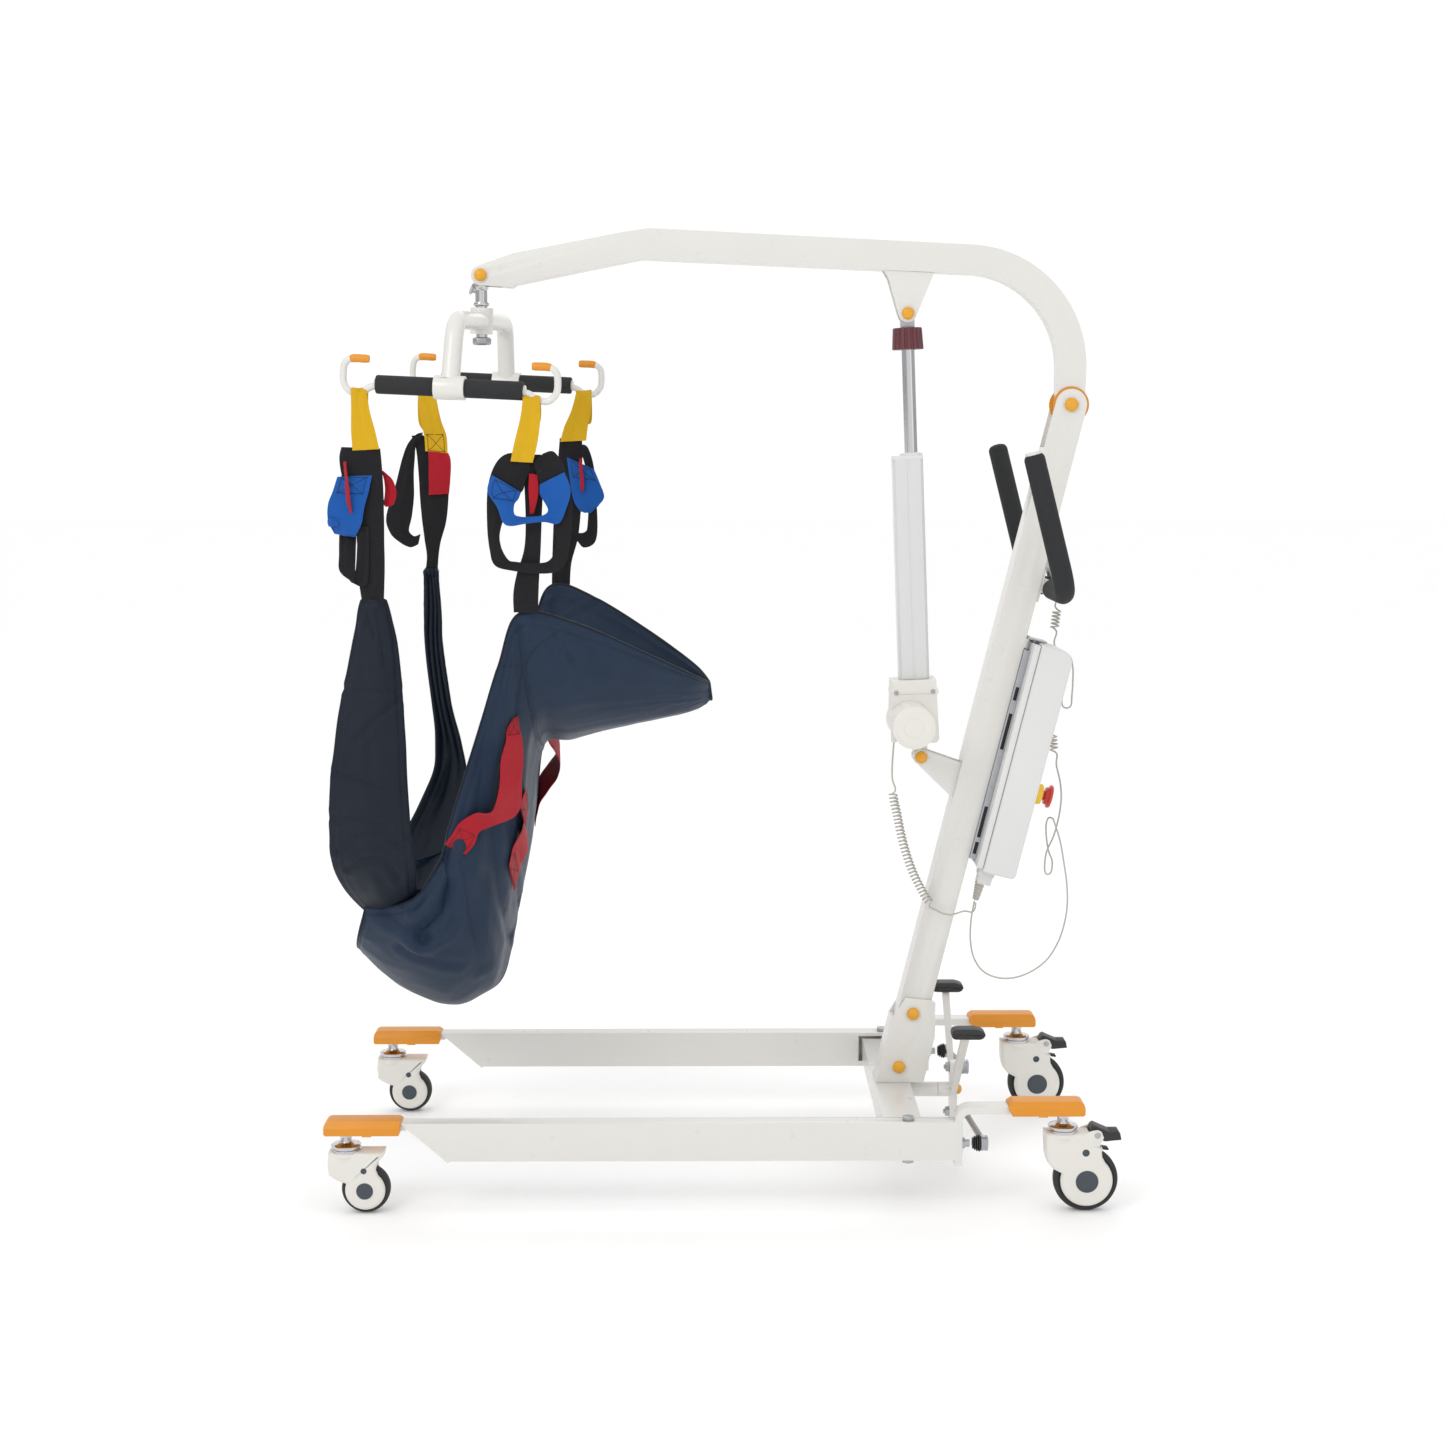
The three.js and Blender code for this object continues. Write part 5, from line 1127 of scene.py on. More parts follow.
class Cloth:
    """A grid of a fabric's middle surface, with an outward side, folds, seams and stitches."""

    def __init__(self, grid, thickness, outward):
        self.grid = grid
        self.thickness = thickness
        normal = unit_normals(grid)
        middle = normal[normal.shape[0] // 4, normal.shape[1] // 2]
        self.normal = normal if middle @ np.array(outward) > 0 else -normal

    def sample(self, u, v, lift=0.0):
        """A point at u, v (0 to 1), lifted off the outer face (or the inner face when lift is negative)."""
        rows, columns = self.grid.shape[:2]
        a = min(max(u, 0), 1) * (rows - 1)
        b = min(max(v, 0), 1) * (columns - 1)
        i, j = min(int(a), rows - 2), min(int(b), columns - 2)
        f, g = a - i, b - j

        def mix(field):
            low = field[i, j] * (1 - g) + field[i, j + 1] * g
            high = field[i + 1, j] * (1 - g) + field[i + 1, j + 1] * g
            return low * (1 - f) + high * f

        side = 1 if lift >= 0 else -1
        normal = Vector(mix(self.normal)).normalized() * side
        return Vector(mix(self.grid)) + normal * (self.thickness / 2 + abs(lift)), normal

    def locate(self, x, z, columns=(0.0, 0.5)):
        """u, v of the grid point nearest to x, z among the given part of the width."""
        n = self.grid.shape[1] - 1
        first, last = int(columns[0] * n), int(columns[1] * n)
        part = self.grid[:, first:last + 1]
        gap = (part[:, :, 0] - x) ** 2 + (part[:, :, 2] - z) ** 2
        i, j = np.unravel_index(np.argmin(gap), gap.shape)
        return i / (self.grid.shape[0] - 1), (j + first) / n

    def seam_points(self, uv, step=4.0):
        """Evenly spaced u, v along a polyline of u, v points."""
        points = []
        for (u0, v0), (u1, v1) in zip(uv, uv[1:]):
            gap = (self.sample(u1, v1)[0] - self.sample(u0, v0)[0]).length
            count = max(2, int(gap / step))
            points += [(u0 + (u1 - u0) * k / count, v0 + (v1 - v0) * k / count) for k in range(count)]
        return points + [uv[-1]]

    def groove(self, seams, depth, width):
        """Pulls the fabric in along seams and lets it puff a little beside them."""
        tree_points = [self.sample(u, v)[0] for seam in seams for u, v in self.seam_points(seam)]
        tree = KDTree(len(tree_points))
        for index, point in enumerate(tree_points):
            tree.insert(point, index)
        tree.balance()
        push = np.zeros(self.grid.shape[:2])
        for i in range(push.shape[0]):
            for j in range(push.shape[1]):
                gap = tree.find(Vector(self.grid[i, j]))[2] / width
                puff = 0.35 * depth * math.exp(-((gap - 2.2) ** 2) / 1.2)
                push[i, j] = -depth * math.exp(-1.2 * gap) + puff
        self.shift(push)

    def shift(self, push):
        """Moves each grid point out by its own distance."""
        self.grid = self.grid + self.normal * push[:, :, None]
        normal = unit_normals(self.grid)
        self.normal = normal * np.where((normal * self.normal).sum(axis=2, keepdims=True) < 0, -1, 1)

    def mesh(self, name, material):
        rows, columns = self.grid.shape[:2]
        half = self.normal * self.thickness / 2
        points = np.concatenate([(self.grid + half).reshape(-1, 3), (self.grid - half).reshape(-1, 3)])
        count = rows * columns
        polygons = []
        for i in range(rows - 1):
            for j in range(columns - 1):
                a, d = i * columns + j, (i + 1) * columns + j
                polygons.append((a, a + 1, d + 1, d))
                polygons.append((count + d, count + d + 1, count + a + 1, count + a))
        rim = [(0, j) for j in range(columns - 1)] + [(i, columns - 1) for i in range(rows - 1)]
        rim += [(rows - 1, j) for j in range(columns - 1, 0, -1)] + [(i, 0) for i in range(rows - 1, 0, -1)]
        for (i, j), (k, l) in zip(rim, rim[1:] + rim[:1]):
            a, b = i * columns + j, k * columns + l
            polygons.append((b, a, count + a, count + b))
        mesh = bpy.data.meshes.new(name)
        mesh.from_pydata([tuple(p * MM) for p in points], [], polygons)
        across, along = distance_along(self.grid, 1), distance_along(self.grid, 0)
        across -= across[:, columns // 2][:, None]
        uv = np.stack([along[:, columns // 2][:, None] + 0 * across, across], axis=2).reshape(-1, 2) * MM
        layer = mesh.uv_layers.new(name="fabric")
        for loop in mesh.loops:
            layer.data[loop.index].uv = uv[loop.vertex_index % count]
        bm = bmesh.new()
        bm.from_mesh(mesh)
        bmesh.ops.recalc_face_normals(bm, faces=bm.faces)
        bm.to_mesh(mesh)
        bm.free()
        for polygon in mesh.polygons:
            polygon.use_smooth = True
        return link(name, mesh, material)

    def stitches(self, bm, uv, lift):
        """A row of thread dashes along a polyline of u, v points."""
        stitch_row(bm, [self.sample(u, v, lift) for u, v in self.seam_points(uv)])

    def middle(self, uv):
        """Points of the middle surface at u, v points."""
        return [(self.sample(u, v)[0] + self.sample(u, v, -1e-6)[0]) / 2 for u, v in uv]


def stitch_row(bm, line, pitch=5.2, length=3.6, width=0.75):
    """Dashes along (point, normal) pairs."""
    walked, next_at = 0.0, 0.0
    for (a, normal), (b, _) in zip(line, line[1:]):
        gap = (b - a).length
        if gap < 1e-6:
            continue
        along = (b - a) / gap
        across = along.cross(normal).normalized() * width / 2
        while next_at <= walked + gap:
            start = a + along * (next_at - walked)
            rise = normal * 0.32
            ends = []
            for p, h in ((start, -0.4), (start + along * length * 0.25, 1),
                         (start + along * length * 0.75, 1), (start + along * length, -0.4)):
                ends.append([bm.verts.new(p + across + rise * h), bm.verts.new(p - across + rise * h)])
            for e, f in zip(ends, ends[1:]):
                bm.faces.new((e[0], e[1], f[1], f[0]))
            next_at += pitch
        walked += gap


WEB = 1.7
WEB_ROWS = 7


def ribbon(bm, stations, fold=1.2, wave=1.2):
    """Webbing through pairs of edge points: a closed band with UVs in metres, softly folded lengthwise."""
    edges = np.array([[list(p), list(q)] for p, q in stations], dtype=float)
    count = (len(edges) - 1) * WEB_ROWS + 1
    flat = smooth(edges.reshape(len(edges), 6), np.linspace(0, 1, count)).reshape(count, 2, 3)
    uv_layer = bm.loops.layers.uv.verify()
    sides = 10
    rows, marks, surface = [], [], []
    walked = 0.0
    for k in range(count):
        p, q = Vector(flat[k, 0]), Vector(flat[k, 1])
        before, after = flat[max(k - 1, 0)].mean(axis=0), flat[min(k + 1, count - 1)].mean(axis=0)
        along = Vector(after - before).normalized()
        across = q - p
        facing_out = across.cross(along).normalized()
        normal = facing_out * WEB / 2
        middle = (p + q) / 2
        shifts = [
            facing_out * (
                wave * noise.noise((middle + across * (n / sides - 0.5) * 2.2) / 17)
                - fold * math.exp(-((n / sides - 0.5 - 0.12 * noise.noise(middle / 60)) / 0.13) ** 2)
            )
            for n in range(sides + 1)
        ]
        surface.append([p + across * n / sides + shifts[n] for n in range(sides + 1)])
        row = []
        for side in (1, -1):
            order = range(sides + 1) if side == 1 else range(sides, -1, -1)
            for n in order:
                edge = 0.35 if n in (0, sides) else 1.0
                row.append(bm.verts.new(p + across * n / sides + shifts[n] + normal * side * edge))
        rows.append(row)
        if k:
            walked += (Vector(flat[k].mean(axis=0)) - Vector(flat[k - 1].mean(axis=0))).length
        marks.append((walked, across.length))
    n = len(rows[0])
    for k in range(count - 1):
        for m in range(n):
            face = bm.faces.new((rows[k][m], rows[k][(m + 1) % n], rows[k + 1][(m + 1) % n], rows[k + 1][m]))
            face.smooth = True
            corners = ((k, m), (k, (m + 1) % n), (k + 1, (m + 1) % n), (k + 1, m))
            for loop, (row, column) in zip(face.loops, corners):
                place = column if column <= sides else n - 1 - column
                loop[uv_layer].uv = (marks[row][0] * MM, marks[row][1] * place / sides * MM)
    bm.faces.new(rows[0][::-1])
    bm.faces.new(rows[-1])
    return surface


def band_stitches(bm, surface, start, end, cross=True):
    """A sewn box, with its cross, on a stretch of a ribbon (start and end are fractions of its length)."""
    last, sides = len(surface) - 1, len(surface[0]) - 1

    def spot(t, w):
        place = min(max(t, 0), 1) * last
        i = min(int(place), last - 1)
        n = min(int(w * sides), sides - 1)
        f, g = place - i, w * sides - n
        p = (surface[i][n] * (1 - g) + surface[i][n + 1] * g) * (1 - f)
        p += (surface[i + 1][n] * (1 - g) + surface[i + 1][n + 1] * g) * f
        along = surface[i + 1][n] - surface[i][n]
        normal = (surface[i][n + 1] - surface[i][n]).cross(along).normalized()
        if normal.y > 0:
            normal = -normal
        return p + normal * (WEB / 2 + 0.25), normal

    low, high = 0.14, 1 - 0.14
    corners = [(start, low), (start, high), (end, high), (end, low), (start, low)]
    if cross:
        corners += [(end, high), (end, low), (start, high)]
    for (t0, w0), (t1, w1) in zip(corners, corners[1:]):
        line = [spot(t0 + (t1 - t0) * k / 8, w0 + (w1 - w0) * k / 8) for k in range(9)]
        stitch_row(bm, line, 3.4, 2.8, 0.9)


def sling_cloth():
    rows, columns = 241, 141
    u = np.linspace(0, 1, rows)
    v = np.linspace(-1, 1, columns)
    near = smooth(SLING_NEAR, u)
    spine = smooth(SLING_SPINE, u)
    half = smooth(SLING_HALF, u)
    rise = 1 - np.cos(np.abs(v) * np.pi / 2)
    tilt = np.where(v > 0, rise, 0) * np.clip((1 - u) / 0.3, 0, 1)[:, None]
    grid = np.empty((rows, columns, 3))
    grid[:, :, 0] = spine[:, None, 0] + (near[:, None, 0] - spine[:, None, 0]) * rise + 18 * tilt * rise
    grid[:, :, 1] = half[:, None] * np.sin(v * np.pi / 2)
    grid[:, :, 2] = spine[:, None, 1] + (near[:, None, 1] - spine[:, None, 1]) * rise + 14 * tilt * rise
    cloth = Cloth(grid, FABRIC, (0, 0, -1))

    push = np.zeros((rows, columns))
    for i in range(rows):
        a = u[i]
        seat = math.exp(-((a - 0.36) / 0.2) ** 2)
        back = math.exp(-((a - 0.55) / 0.2) ** 2)
        head = math.exp(-((a - 0.86) / 0.16) ** 2)
        edge_pull = min(1.0, min(a, 1 - a) / 0.04)
        for j in range(columns):
            b = v[j]
            rim = min(1.0, (1 - abs(b)) / 0.1)
            drape = noise.noise(Vector((b * 3.1, a * 2.2, 4.7))) * 6 * seat
            drape += noise.noise(Vector((b * 6.5 + a * 2.5, a * 3.0, 1.3))) * 6 * back
            drape += noise.noise(Vector((b * 2.6 - a * 3, a * 6.0, 8.1))) * 5 * head
            fine = noise.noise(Vector((b * 9, a * 16, 2.2))) * 1.5
            fine += noise.noise(Vector((b * 22 + a * 9, a * 30, 6.2))) * 0.5
            push[i, j] = (drape * rim + fine) * edge_pull
    cloth.shift(push)
    return cloth


# Creases on the near side as (x, z), each with its depth and width.
SLING_CREASES = (
    ([(-431, 560), (-424, 500), (-434, 456), (-468, 426)], 15, 13),
    ([(-476, 470), (-440, 530), (-420, 562)], 7, 8),
    ([(-534, 452), (-500, 430), (-472, 412)], 7, 9),
    ([(-472, 412), (-440, 420), (-418, 448)], 6, 8),
    ([(-405, 540), (-392, 440), (-384, 356)], 5, 11),
    ([(-356, 600), (-352, 470), (-346, 380)], 5, 9),
    ([(-322, 640), (-325, 540), (-331, 440)], 4.5, 7),
    ([(-505, 396), (-458, 374), (-420, 366)], 3.5, 7),
    ([(-368, 700), (-378, 620), (-398, 545)], 6, 14),
    ([(-256, 888), (-244, 868), (-233, 850)], 4.5, 5),
    ([(-262, 870), (-258, 850), (-252, 820)], 3.0, 6),
    ([(-312, 905), (-322, 850), (-330, 790)], 4.5, 10),
    ([(-222, 890), (-200, 868), (-192, 835)], 4, 12),
)
# Joining seams on the near side as (x, z).
SLING_SEAMS = (
    [(-230, 903), (-262, 888), (-288, 868), (-306, 830), (-314, 798), (-318, 764)],
    [(-345, 846), (-330, 842), (-312, 840)],
)


def add_sling_body():
    cloth = sling_cloth()
    for points, depth, width in SLING_CREASES:
        uv = [cloth.locate(x, z) for x, z in points]
        cloth.groove([uv], depth, width)
        if depth > 4:
            cloth.groove([[(a, 1 - b) for a, b in uv]], depth * 0.8, width)
    seams = [[cloth.locate(x, z) for x, z in points] for points in SLING_SEAMS]
    seams += [[(a, 1 - b) for a, b in seam] for seam in seams]
    hem = 0.028
    hems = [
        [(0.012, 0.02 + 0.96 * t) for t in SHARES],
        [(0.012 + 0.976 * t, hem) for t in SHARES],
        [(0.012 + 0.976 * t, 1 - hem) for t in SHARES],
        [(0.985, 0.1 + 0.8 * t) for t in SHARES],
    ]
    lengthwise = [(0.02 + 0.96 * t, 0.5) for t in SHARES]
    crosswise = [(0.665, 0.03 + 0.94 * t) for t in SHARES]
    cloth.groove(hems, 2.2, 3.0)
    cloth.groove(seams + [lengthwise, crosswise], 3.2, 4.0)
    body = cloth.mesh("sling_panel", NAVY)
    settle(body, "cradle", ("sling_body",))

    thread = bmesh.new()
    beside = 0.006
    for face in BOTH_FACES:
        for row in hems + seams:
            cloth.stitches(thread, row, face)
        for gap in (beside, -beside):
            cloth.stitches(thread, [(u, v + gap) for u, v in lengthwise], face)
            cloth.stitches(thread, [(u + gap, v) for u, v in crosswise], face)
    threads = make("sling_thread", thread, THREAD)
    settle(threads, "cradle")

    rim = bmesh.new()
    edge = [(t, 0.0) for t in SHARES] + [(1.0, t) for t in SHARES[1:]] + [(1 - t, 1.0) for t in SHARES[1:]]
    edge += [(0.0, 1 - t) for t in SHARES[1:-1]]
    line = cloth.middle(cloth.seam_points(edge + edge[:1], 6)[:-1])
    sweep(rim, line + line[:1], 2.5, 10)
    binding = make("sling_edge_binding", rim, NAVY_DARK)
    settle(binding, "cradle")
    handles = add_handles(cloth)
    return body, [threads, binding] + handles


# The lower handle of each side: where it starts, its step along, its place across, its lifts off the cloth.
LOW_HANDLES = {
    -1: (0.522, 0.0085, 0.15, (4, 4, 4.5, 8, 12, 13, 9, 4.5, 4, 4)),
    1: (0.578, 0.0112, 0.10, (3, 3.2, 6, 18, 30, 32, 22, 7, 3.2, 3)),
}


def add_handles(cloth):
    """Red carrying handles: two on each side of the body."""
    bands, thread = bmesh.new(), bmesh.new()
    shape = [
        (-327, 762, -316, 762, 1.2, 1.2), (-334, 745, -315, 745, 1.5, 1.5), (-338, 725, -314, 725, 6, 8),
        (-342, 699, -314, 699, 13, 18), (-347, 659, -315, 659, 22, 28), (-354, 626, -318, 624, 24, 27),
        (-364, 616, -327, 604, 22, 22), (-382, 618, -350, 596, 15, 14), (-404, 602, -376, 584, 5, 4),
        (-417, 585, -386, 567, 1.6, 1.6), (-428, 568, -398, 550, 1.2, 1.2),
    ]
    for s in (-1, 1):
        stations = []
        for x0, z0, x1, z1, e0, e1 in shape:
            pair = []
            for x, z, e in ((x0, z0, e0), (x1, z1, e1)):
                u_, v_ = cloth.locate(x, z)
                point = cloth.sample(u_, v_ if s < 0 else 1 - v_, 3.0)[0]
                pair.append(point + Vector((0, s * (e - 1), 0)))
            stations.append(tuple(pair))
        flat = ribbon(bands, stations, fold=0, wave=0.5)
        band_stitches(thread, flat, 0.02, 0.15)
        band_stitches(thread, flat, 0.84, 0.98)
        start, step, inner, lifts = LOW_HANDLES[s]
        low = []
        for k, lift in enumerate(lifts):
            u_ = start + step * k
            a, b = 0.5 + s * inner, 0.5 + s * (inner + 0.09)
            low.append((cloth.sample(u_, a, lift)[0], cloth.sample(u_, b, lift)[0]))
        flat = ribbon(bands, low, fold=0, wave=0.5)
        band_stitches(thread, flat, 0.02, 0.22)
        band_stitches(thread, flat, 0.78, 0.98)
    webbing = make("sling_handles", bands, WEB_RED, angle=60)
    settle(webbing, "cradle")
    box = make("sling_handle_thread", thread, DARK_THREAD_AND_GAP_SHADE)
    settle(box, "cradle")
    return [webbing, box]


NEAR_FLAP = [
    (-526, -243, 943.5, 17), (-526, -243, 915, 24), (-527, -242, 875, 31), (-533, -240, 800, 42),
    (-537, -239, 740, 49), (-540, -238, 680, 54), (-541, -235, 597, 59), (-539, -224, 540, 60),
    (-534, -198, 495, 54), (-524, -158, 455, 42), (-514, -120, 425, 32),
]
FAR_FLAP = [
    (-497, 232, 962, 10), (-495, 233, 905, 11), (-494, 233, 842, 12), (-483, 234, 738, 14),
    (-472, 234, 665, 19), (-470, 233, 615, 25), (-484, 227, 555, 37), (-502, 202, 498, 45),
    (-508, 160, 455, 40), (-508, 122, 425, 32),
]


def flap_cloth(stations, s, curl, gathers, seed):
    """A leg piece from its centre line and half widths. Its edges curl in, and gathers(t) folds it."""
    rows, columns = 161, 61
    t = np.linspace(0, 1, rows)
    w = np.linspace(-1, 1, columns)
    line = smooth(stations, t)
    grid = np.empty((rows, columns, 3))
    for i in range(rows):
        x, y, z, half = line[i]
        for j in range(columns):
            b = w[j]
            fold = gathers(t[i]) * math.cos(b * 3 * math.pi + 2.2 * noise.noise(Vector((t[i] * 5, b, seed))))
            soft = noise.noise(Vector((t[i] * 4.2, b * 1.4, seed))) * 5
            soft += noise.noise(Vector((t[i] * 13, b * 3.2, seed + 3))) * 1.5
            bump = noise.noise(Vector((t[i] * 9, seed, 3.0 + (b > 0)))) * 2.2 * abs(b) ** 3
            inward = curl * b * b * min(1, half / 40)
            grid[i, j] = (x + (half + bump) * b,
                          y - s * (inward + soft * (1 - 0.6 * abs(b))) + s * fold,
                          z + 0.3 * fold)
    return Cloth(grid, FABRIC + PADDING, (0, s, 0))


def add_flaps():
    near = flap_cloth(NEAR_FLAP, -1, 15, lambda t: 0.0, 5.5)

    def uv(x, z):
        return near.locate(x, z, (0, 1))

    quilting = [
        [uv(-577, 809), uv(-540, 807), uv(-493, 804)],
        [uv(-588, 680), uv(-560, 672), uv(-508, 647)],
        [uv(-495, 792), uv(-530, 762), uv(-560, 730)],
        [uv(-598, 610), uv(-570, 612), uv(-540, 608), uv(-515, 598)],
        [uv(-590, 560), uv(-555, 585), uv(-515, 590), uv(-492, 560)],
        [uv(-575, 530), uv(-548, 548), uv(-520, 545), uv(-500, 515)],
        [uv(-538, 925), uv(-533, 905), uv(-528, 892)],
        [uv(-521, 925), uv(-513, 870), uv(-512, 842), uv(-527, 838)],
    ]
    near.groove(quilting, 4.0, 5.0)
    far = flap_cloth(FAR_FLAP, 1, 10, lambda t: 7.0 * max(0.0, 1 - t / 0.62), 9.2)
    found = []
    for name, cloth, rows in (("near", near, quilting), ("far", far, [])):
        inset = 0.06
        hems = [[(0.01 + 0.95 * t, inset) for t in SHARES], [(0.01 + 0.95 * t, 1 - inset) for t in SHARES],
                [(0.012, 0.08 + 0.84 * t) for t in SHARES]]
        cloth.groove(hems, 2.2, 3.0)
        # The leg pieces get the darker navy, which is painted shade.
        panel = cloth.mesh(f"sling_leg_piece_{name}", NAVY_LEG_SHADE)
        settle(panel, "cradle", (f"sling_leg_flap_{name}",))
        thread = bmesh.new()
        for face in BOTH_FACES:
            for row in hems + rows:
                cloth.stitches(thread, row, face)
        dashes = make(f"sling_leg_thread_{name}", thread, THREAD)
        settle(dashes, "cradle")
        rim = bmesh.new()
        edge = [(1 - t, 0.0) for t in SHARES]
        edge += [(0.0, t) for t in SHARES[1:]] + [(t, 1.0) for t in SHARES[1:]]
        sweep(rim, cloth.middle(cloth.seam_points(edge, 6)), 3.6, 10)
        binding = make(f"sling_leg_binding_{name}", rim, NAVY_DARK)
        settle(binding, "cradle")
        found.append((panel, [dashes, binding]))
    return found


# ---- Straps -----------------------------------------------------------------------------------------
# Webbing bands as (x, z) of one edge, (x, z) of the other, and the distance in front of the strap's own
# plane, or a distance for each edge. "end" is the (y, z) where the strap is sewn on, "top" its x at the hook.
YELLOW, BLACK_WEB, BLUE, RED_WEB = "yellow", "black", "blue", "red"
STRAPS = {
    ("leg", "near"): {
        "end": (-243, 944),
        "loop": [(-554, 1168, -514, 1170, 8), (-556, 1195, -520, 1196, 6), (-556, 1225, -528, 1226, 6)],
        "top": (-556, -532),
        "bands": [
            (BLACK_WEB, [
                (-571, 1173, -513, 1171, 5), (-574, 1155, -511, 1152, 6), (-568, 1120, -509, 1120, 6),
                (-553, 1080, -508, 1080, 5), (-549, 1030, -508, 1030, 3), (-548, 985, -508, 985, 1),
                (-542, 938, -510, 938, 0),
            ]),
            (BLACK_WEB, [
                (-568, 1170, -530, 1170, -4), (-574, 1120, -540, 1118, -7), (-576, 1070, -549, 1066, -5),
                (-576, 1015, -551, 1012, 3), (-575, 990, -551, 984, 7), (-562, 978, -549, 968, 6),
                (-552, 985, -533, 972, 5), (-548, 1030, -530, 1030, 7), (-548, 1055, -530, 1055, 8),
            ]),
            (BLUE, [
                (-577, 1129, -525, 1131, 8), (-583, 1108, -530, 1106, 12), (-590, 1088, -536, 1084, 14),
                (-590, 1066, -540, 1060, 15), (-580, 1048, -548, 1044, 12), (-583, 1046, -550, 1042, 6),
                (-592, 1066, -548, 1062, 2), (-586, 1090, -545, 1090, 0), (-576, 1112, -545, 1112, 0),
            ]),
            (BLUE, [
                (-590, 1068, -578, 1066, 17), (-590, 1062, -574, 1060, 20), (-589, 1056, -574, 1056, 17),
            ]),
            (RED_WEB, [
                (-567, 1150, -563, 1152, 8, 15), (-564, 1120, -558, 1118, 14, 22),
                (-562, 1095, -555, 1092, 16, 24), (-560, 1076, -553, 1075, 12, 20),
            ]),
            (RED_WEB, [
                (-516, 1142, -508, 1135, -3), (-510, 1128, -496, 1124, -6), (-508, 1108, -491, 1104, -7),
                (-510, 1092, -496, 1087, -6), (-514, 1090, -506, 1084, -4),
            ]),
        ],
    },
    ("leg", "far"): {
        "end": (232, 962),
        "loop": [(-504, 1164, -466, 1160, 8), (-506, 1190, -468, 1190, 6), (-512, 1220, -478, 1220, 6)],
        "top": (-517, -488),
        "bands": [
            (BLACK_WEB, [
                (-528, 1190, -510, 1192, 3), (-520, 1165, -465, 1160, 4), (-516, 1120, -464, 1118, 5),
                (-514, 1080, -466, 1080, 5), (-511, 1045, -470, 1045, 4), (-507, 1010, -480, 1010, 2),
                (-504, 985, -484, 985, 1), (-507, 958, -486, 958, 0),
            ]),
            (BLACK_WEB, [
                (-508, 1196, -512, 1182, 6), (-520, 1192, -520, 1174, 7), (-534, 1176, -522, 1152, 8),
                (-544, 1150, -524, 1125, 8), (-556, 1105, -524, 1090, 7), (-572, 1054, -528, 1055, 6),
                (-566, 1026, -533, 1034, 6), (-550, 1010, -532, 1026, 6), (-532, 1001, -524, 1020, 5),
                (-518, 1006, -514, 1024, 4),
            ]),
            (RED_WEB, [
                (-499, 1164, -464, 1160, 10), (-498, 1150, -460, 1144, 13), (-498, 1122, -461, 1118, 14),
                (-498, 1102, -462, 1108, 12), (-499, 1090, -464, 1092, 10),
            ]),
        ],
    },
    ("shoulder", "near"): {
        "end": (-222, 927),
        "loop": [(-317, 1152, -284, 1150, 11), (-311, 1180, -277, 1178, 8), (-302, 1215, -272, 1214, 6)],
        "top": (-298, -272),
        "bands": [
            (BLACK_WEB, [
                (-300, 1162, -272, 1162, 2), (-298, 1120, -270, 1120, 0), (-297, 1060, -273, 1060, -2),
                (-300, 1020, -275, 1020, -2), (-311, 985, -277, 990, -1), (-317, 955, -279, 955, 0),
                (-317, 925, -280, 925, 0),
            ]),
            (BLACK_WEB, [
                (-290, 1160, -288, 1140, 5), (-320, 1164, -296, 1122, 7), (-340, 1148, -300, 1108, 8),
                (-352, 1112, -318, 1092, 8), (-354, 1060, -334, 1050, 7), (-351, 1020, -334, 1026, 6),
                (-343, 996, -324, 1006, 6), (-315, 988, -312, 1002, 6), (-280, 984, -280, 1000, 5),
                (-248, 988, -262, 1004, 6), (-234, 1010, -252, 1022, 7), (-228, 1050, -252, 1050, 8),
                (-226, 1100, -262, 1098, 9), (-236, 1140, -272, 1112, 9), (-252, 1166, -278, 1132, 8),
                (-268, 1164, -284, 1150, 6),
            ]),
            (BLUE, [
                (-345, 1132, -302, 1106, 11), (-352, 1108, -306, 1096, 13), (-338, 1084, -312, 1088, 14),
                (-330, 1062, -312, 1074, 15), (-318, 1056, -302, 1070, 16), (-292, 1060, -290, 1070, 16),
                (-268, 1062, -270, 1072, 16), (-246, 1060, -262, 1080, 15), (-234, 1084, -270, 1096, 14),
                (-228, 1110, -274, 1104, 13), (-237, 1136, -274, 1118, 11),
            ]),
            (RED_WEB, [
                (-290, 1134, -278, 1132, 5), (-291, 1112, -276, 1110, 9), (-290, 1090, -279, 1092, 8),
                (-290, 1074, -284, 1074, 5),
            ]),
        ],
    },
    ("shoulder", "far"): {
        "end": (222, 941),
        "loop": [(-273, 1180, -229, 1182, 8), (-266, 1205, -226, 1206, 6), (-254, 1232, -221, 1233, 6)],
        "top": (-246, -220),
        "bands": [
            (BLACK_WEB, [
                (-274, 1186, -236, 1186, 4), (-278, 1140, -236, 1140, 5), (-284, 1080, -238, 1080, 4),
                (-287, 1020, -244, 1020, 3), (-289, 975, -256, 975, 1), (-290, 936, -259, 936, 0),
            ]),
            (BLACK_WEB, [
                (-238, 1176, -240, 1160, 6), (-226, 1170, -234, 1150, 7), (-216, 1136, -228, 1120, 8),
                (-212, 1080, -226, 1080, 8), (-211, 1030, -228, 1038, 7), (-217, 1008, -232, 1028, 7),
                (-234, 1001, -242, 1026, 6), (-244, 1010, -250, 1030, 4),
            ]),
            (BLUE, [
                (-262, 1154, -216, 1134, 10), (-257, 1115, -206, 1110, 12), (-251, 1082, -199, 1086, 13),
                (-244, 1068, -214, 1068, 13), (-240, 1064, -222, 1060, 10), (-246, 1080, -204, 1080, 4),
                (-250, 1110, -208, 1110, 3),
            ]),
            (RED_WEB, [
                (-241, 1152, -237, 1152, 10, 16), (-240, 1125, -234, 1123, 15, 22),
                (-239, 1106, -233, 1104, 16, 22), (-239, 1096, -235, 1095, 11, 17),
            ]),
        ],
    },
}
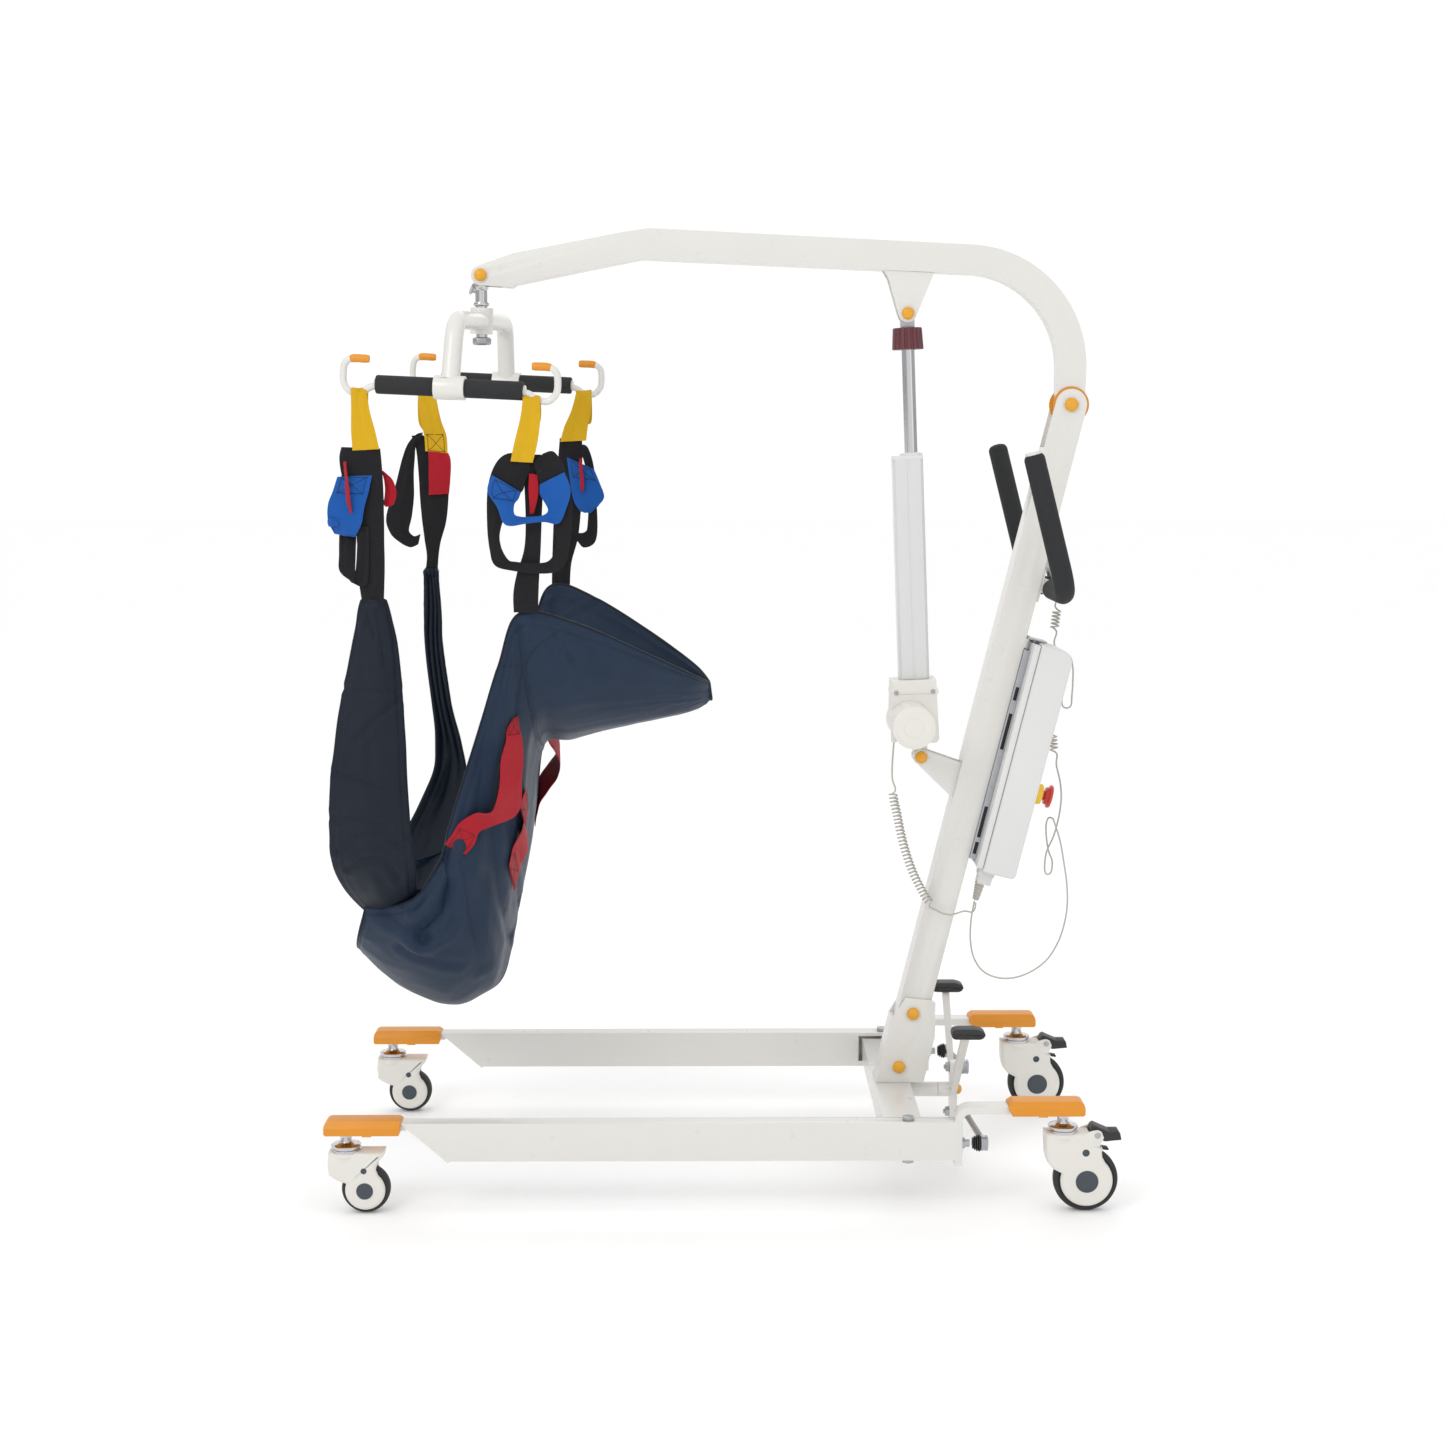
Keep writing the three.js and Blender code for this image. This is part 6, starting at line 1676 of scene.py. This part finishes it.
WEBBING = {YELLOW: WEB_YELLOW, BLACK_WEB: WEB_BLACK, BLUE: WEB_BLUE, RED_WEB: WEB_RED}


def hook_seat(d, s):
    return CRADLE @ Vector((d * (CRADLE_BAR + 30), s * CRADLE_HALF, CRADLE_BAR_Z - 13.2))


def add_strap(kind, side, spec):
    d = -1 if kind == "leg" else 1
    s = -1 if side == "near" else 1
    seat = hook_seat(d, s)
    end_y, end_z = spec["end"]

    def place(x, z, e):
        y = seat.y + (end_y - seat.y) * (seat.z - z) / (seat.z - end_z)
        return Vector((x, y - e, z))

    def pairs(stations):
        return [(place(x0, z0, e[0]), place(x1, z1, e[-1])) for x0, z0, x1, z1, *e in stations]

    webs = {}
    thread = bmesh.new()
    x0, x1 = spec["top"]
    over = []
    for step in range(7):
        turn = math.pi * step / 6
        e = 7.2 * math.cos(turn)
        rise = 7.0 * math.sin(turn)
        over.append((Vector((x0, seat.y - e, seat.z + rise)), Vector((x1, seat.y - e, seat.z + rise))))
    back = [(place(x0, 1215, -5), place(x1, 1215, -5))] + [
        (place(a + 3, b, -4), place(c - 5, f, -4)) for a, b, c, f, _ in spec["loop"][:2][::-1]
    ]
    webs[YELLOW] = bmesh.new()
    flat = ribbon(webs[YELLOW], pairs(spec["loop"]) + over + back)
    if (kind, side) == ("leg", "far"):
        band_stitches(thread, flat, 0.01, 0.09)
    for colour, stations in spec["bands"]:
        bm = webs.setdefault(colour, bmesh.new())
        flat = ribbon(bm, pairs(stations))
        if colour == BLUE and len(stations) > 4:
            band_stitches(thread, flat, 0.02, 0.14)
        if colour == BLACK_WEB:
            band_stitches(thread, flat, 0.93, 0.99, cross=False)
    pieces = []
    for index, (colour, bm) in enumerate(webs.items()):
        obj = make(f"strap_{kind}_{side}_{colour}", bm, WEBBING[colour], angle=60)
        replaces = (f"sling_strap_{kind}_{side}",) if index == 0 else ()
        settle(obj, "cradle", replaces)
        pieces.append(obj)
    dashes = make(f"strap_{kind}_{side}_thread", thread, DARK_THREAD_AND_GAP_SHADE)
    settle(dashes, "cradle")
    return pieces + [dashes]


# ---- Whole scene ------------------------------------------------------------------------------------
def add_sling():
    straps = {key: add_strap(*key, spec) for key, spec in STRAPS.items()}
    body, on_body = add_sling_body()
    near, far = add_flaps()


add_camera()
add_studio()
add_floor()
add_cords()
add_frame()
add_capped_bolts()
add_casters()
add_spreader()
add_grips()
add_handset()
add_control_box()
add_actuator()
add_hanger()
add_cradle_bars()
add_sling()
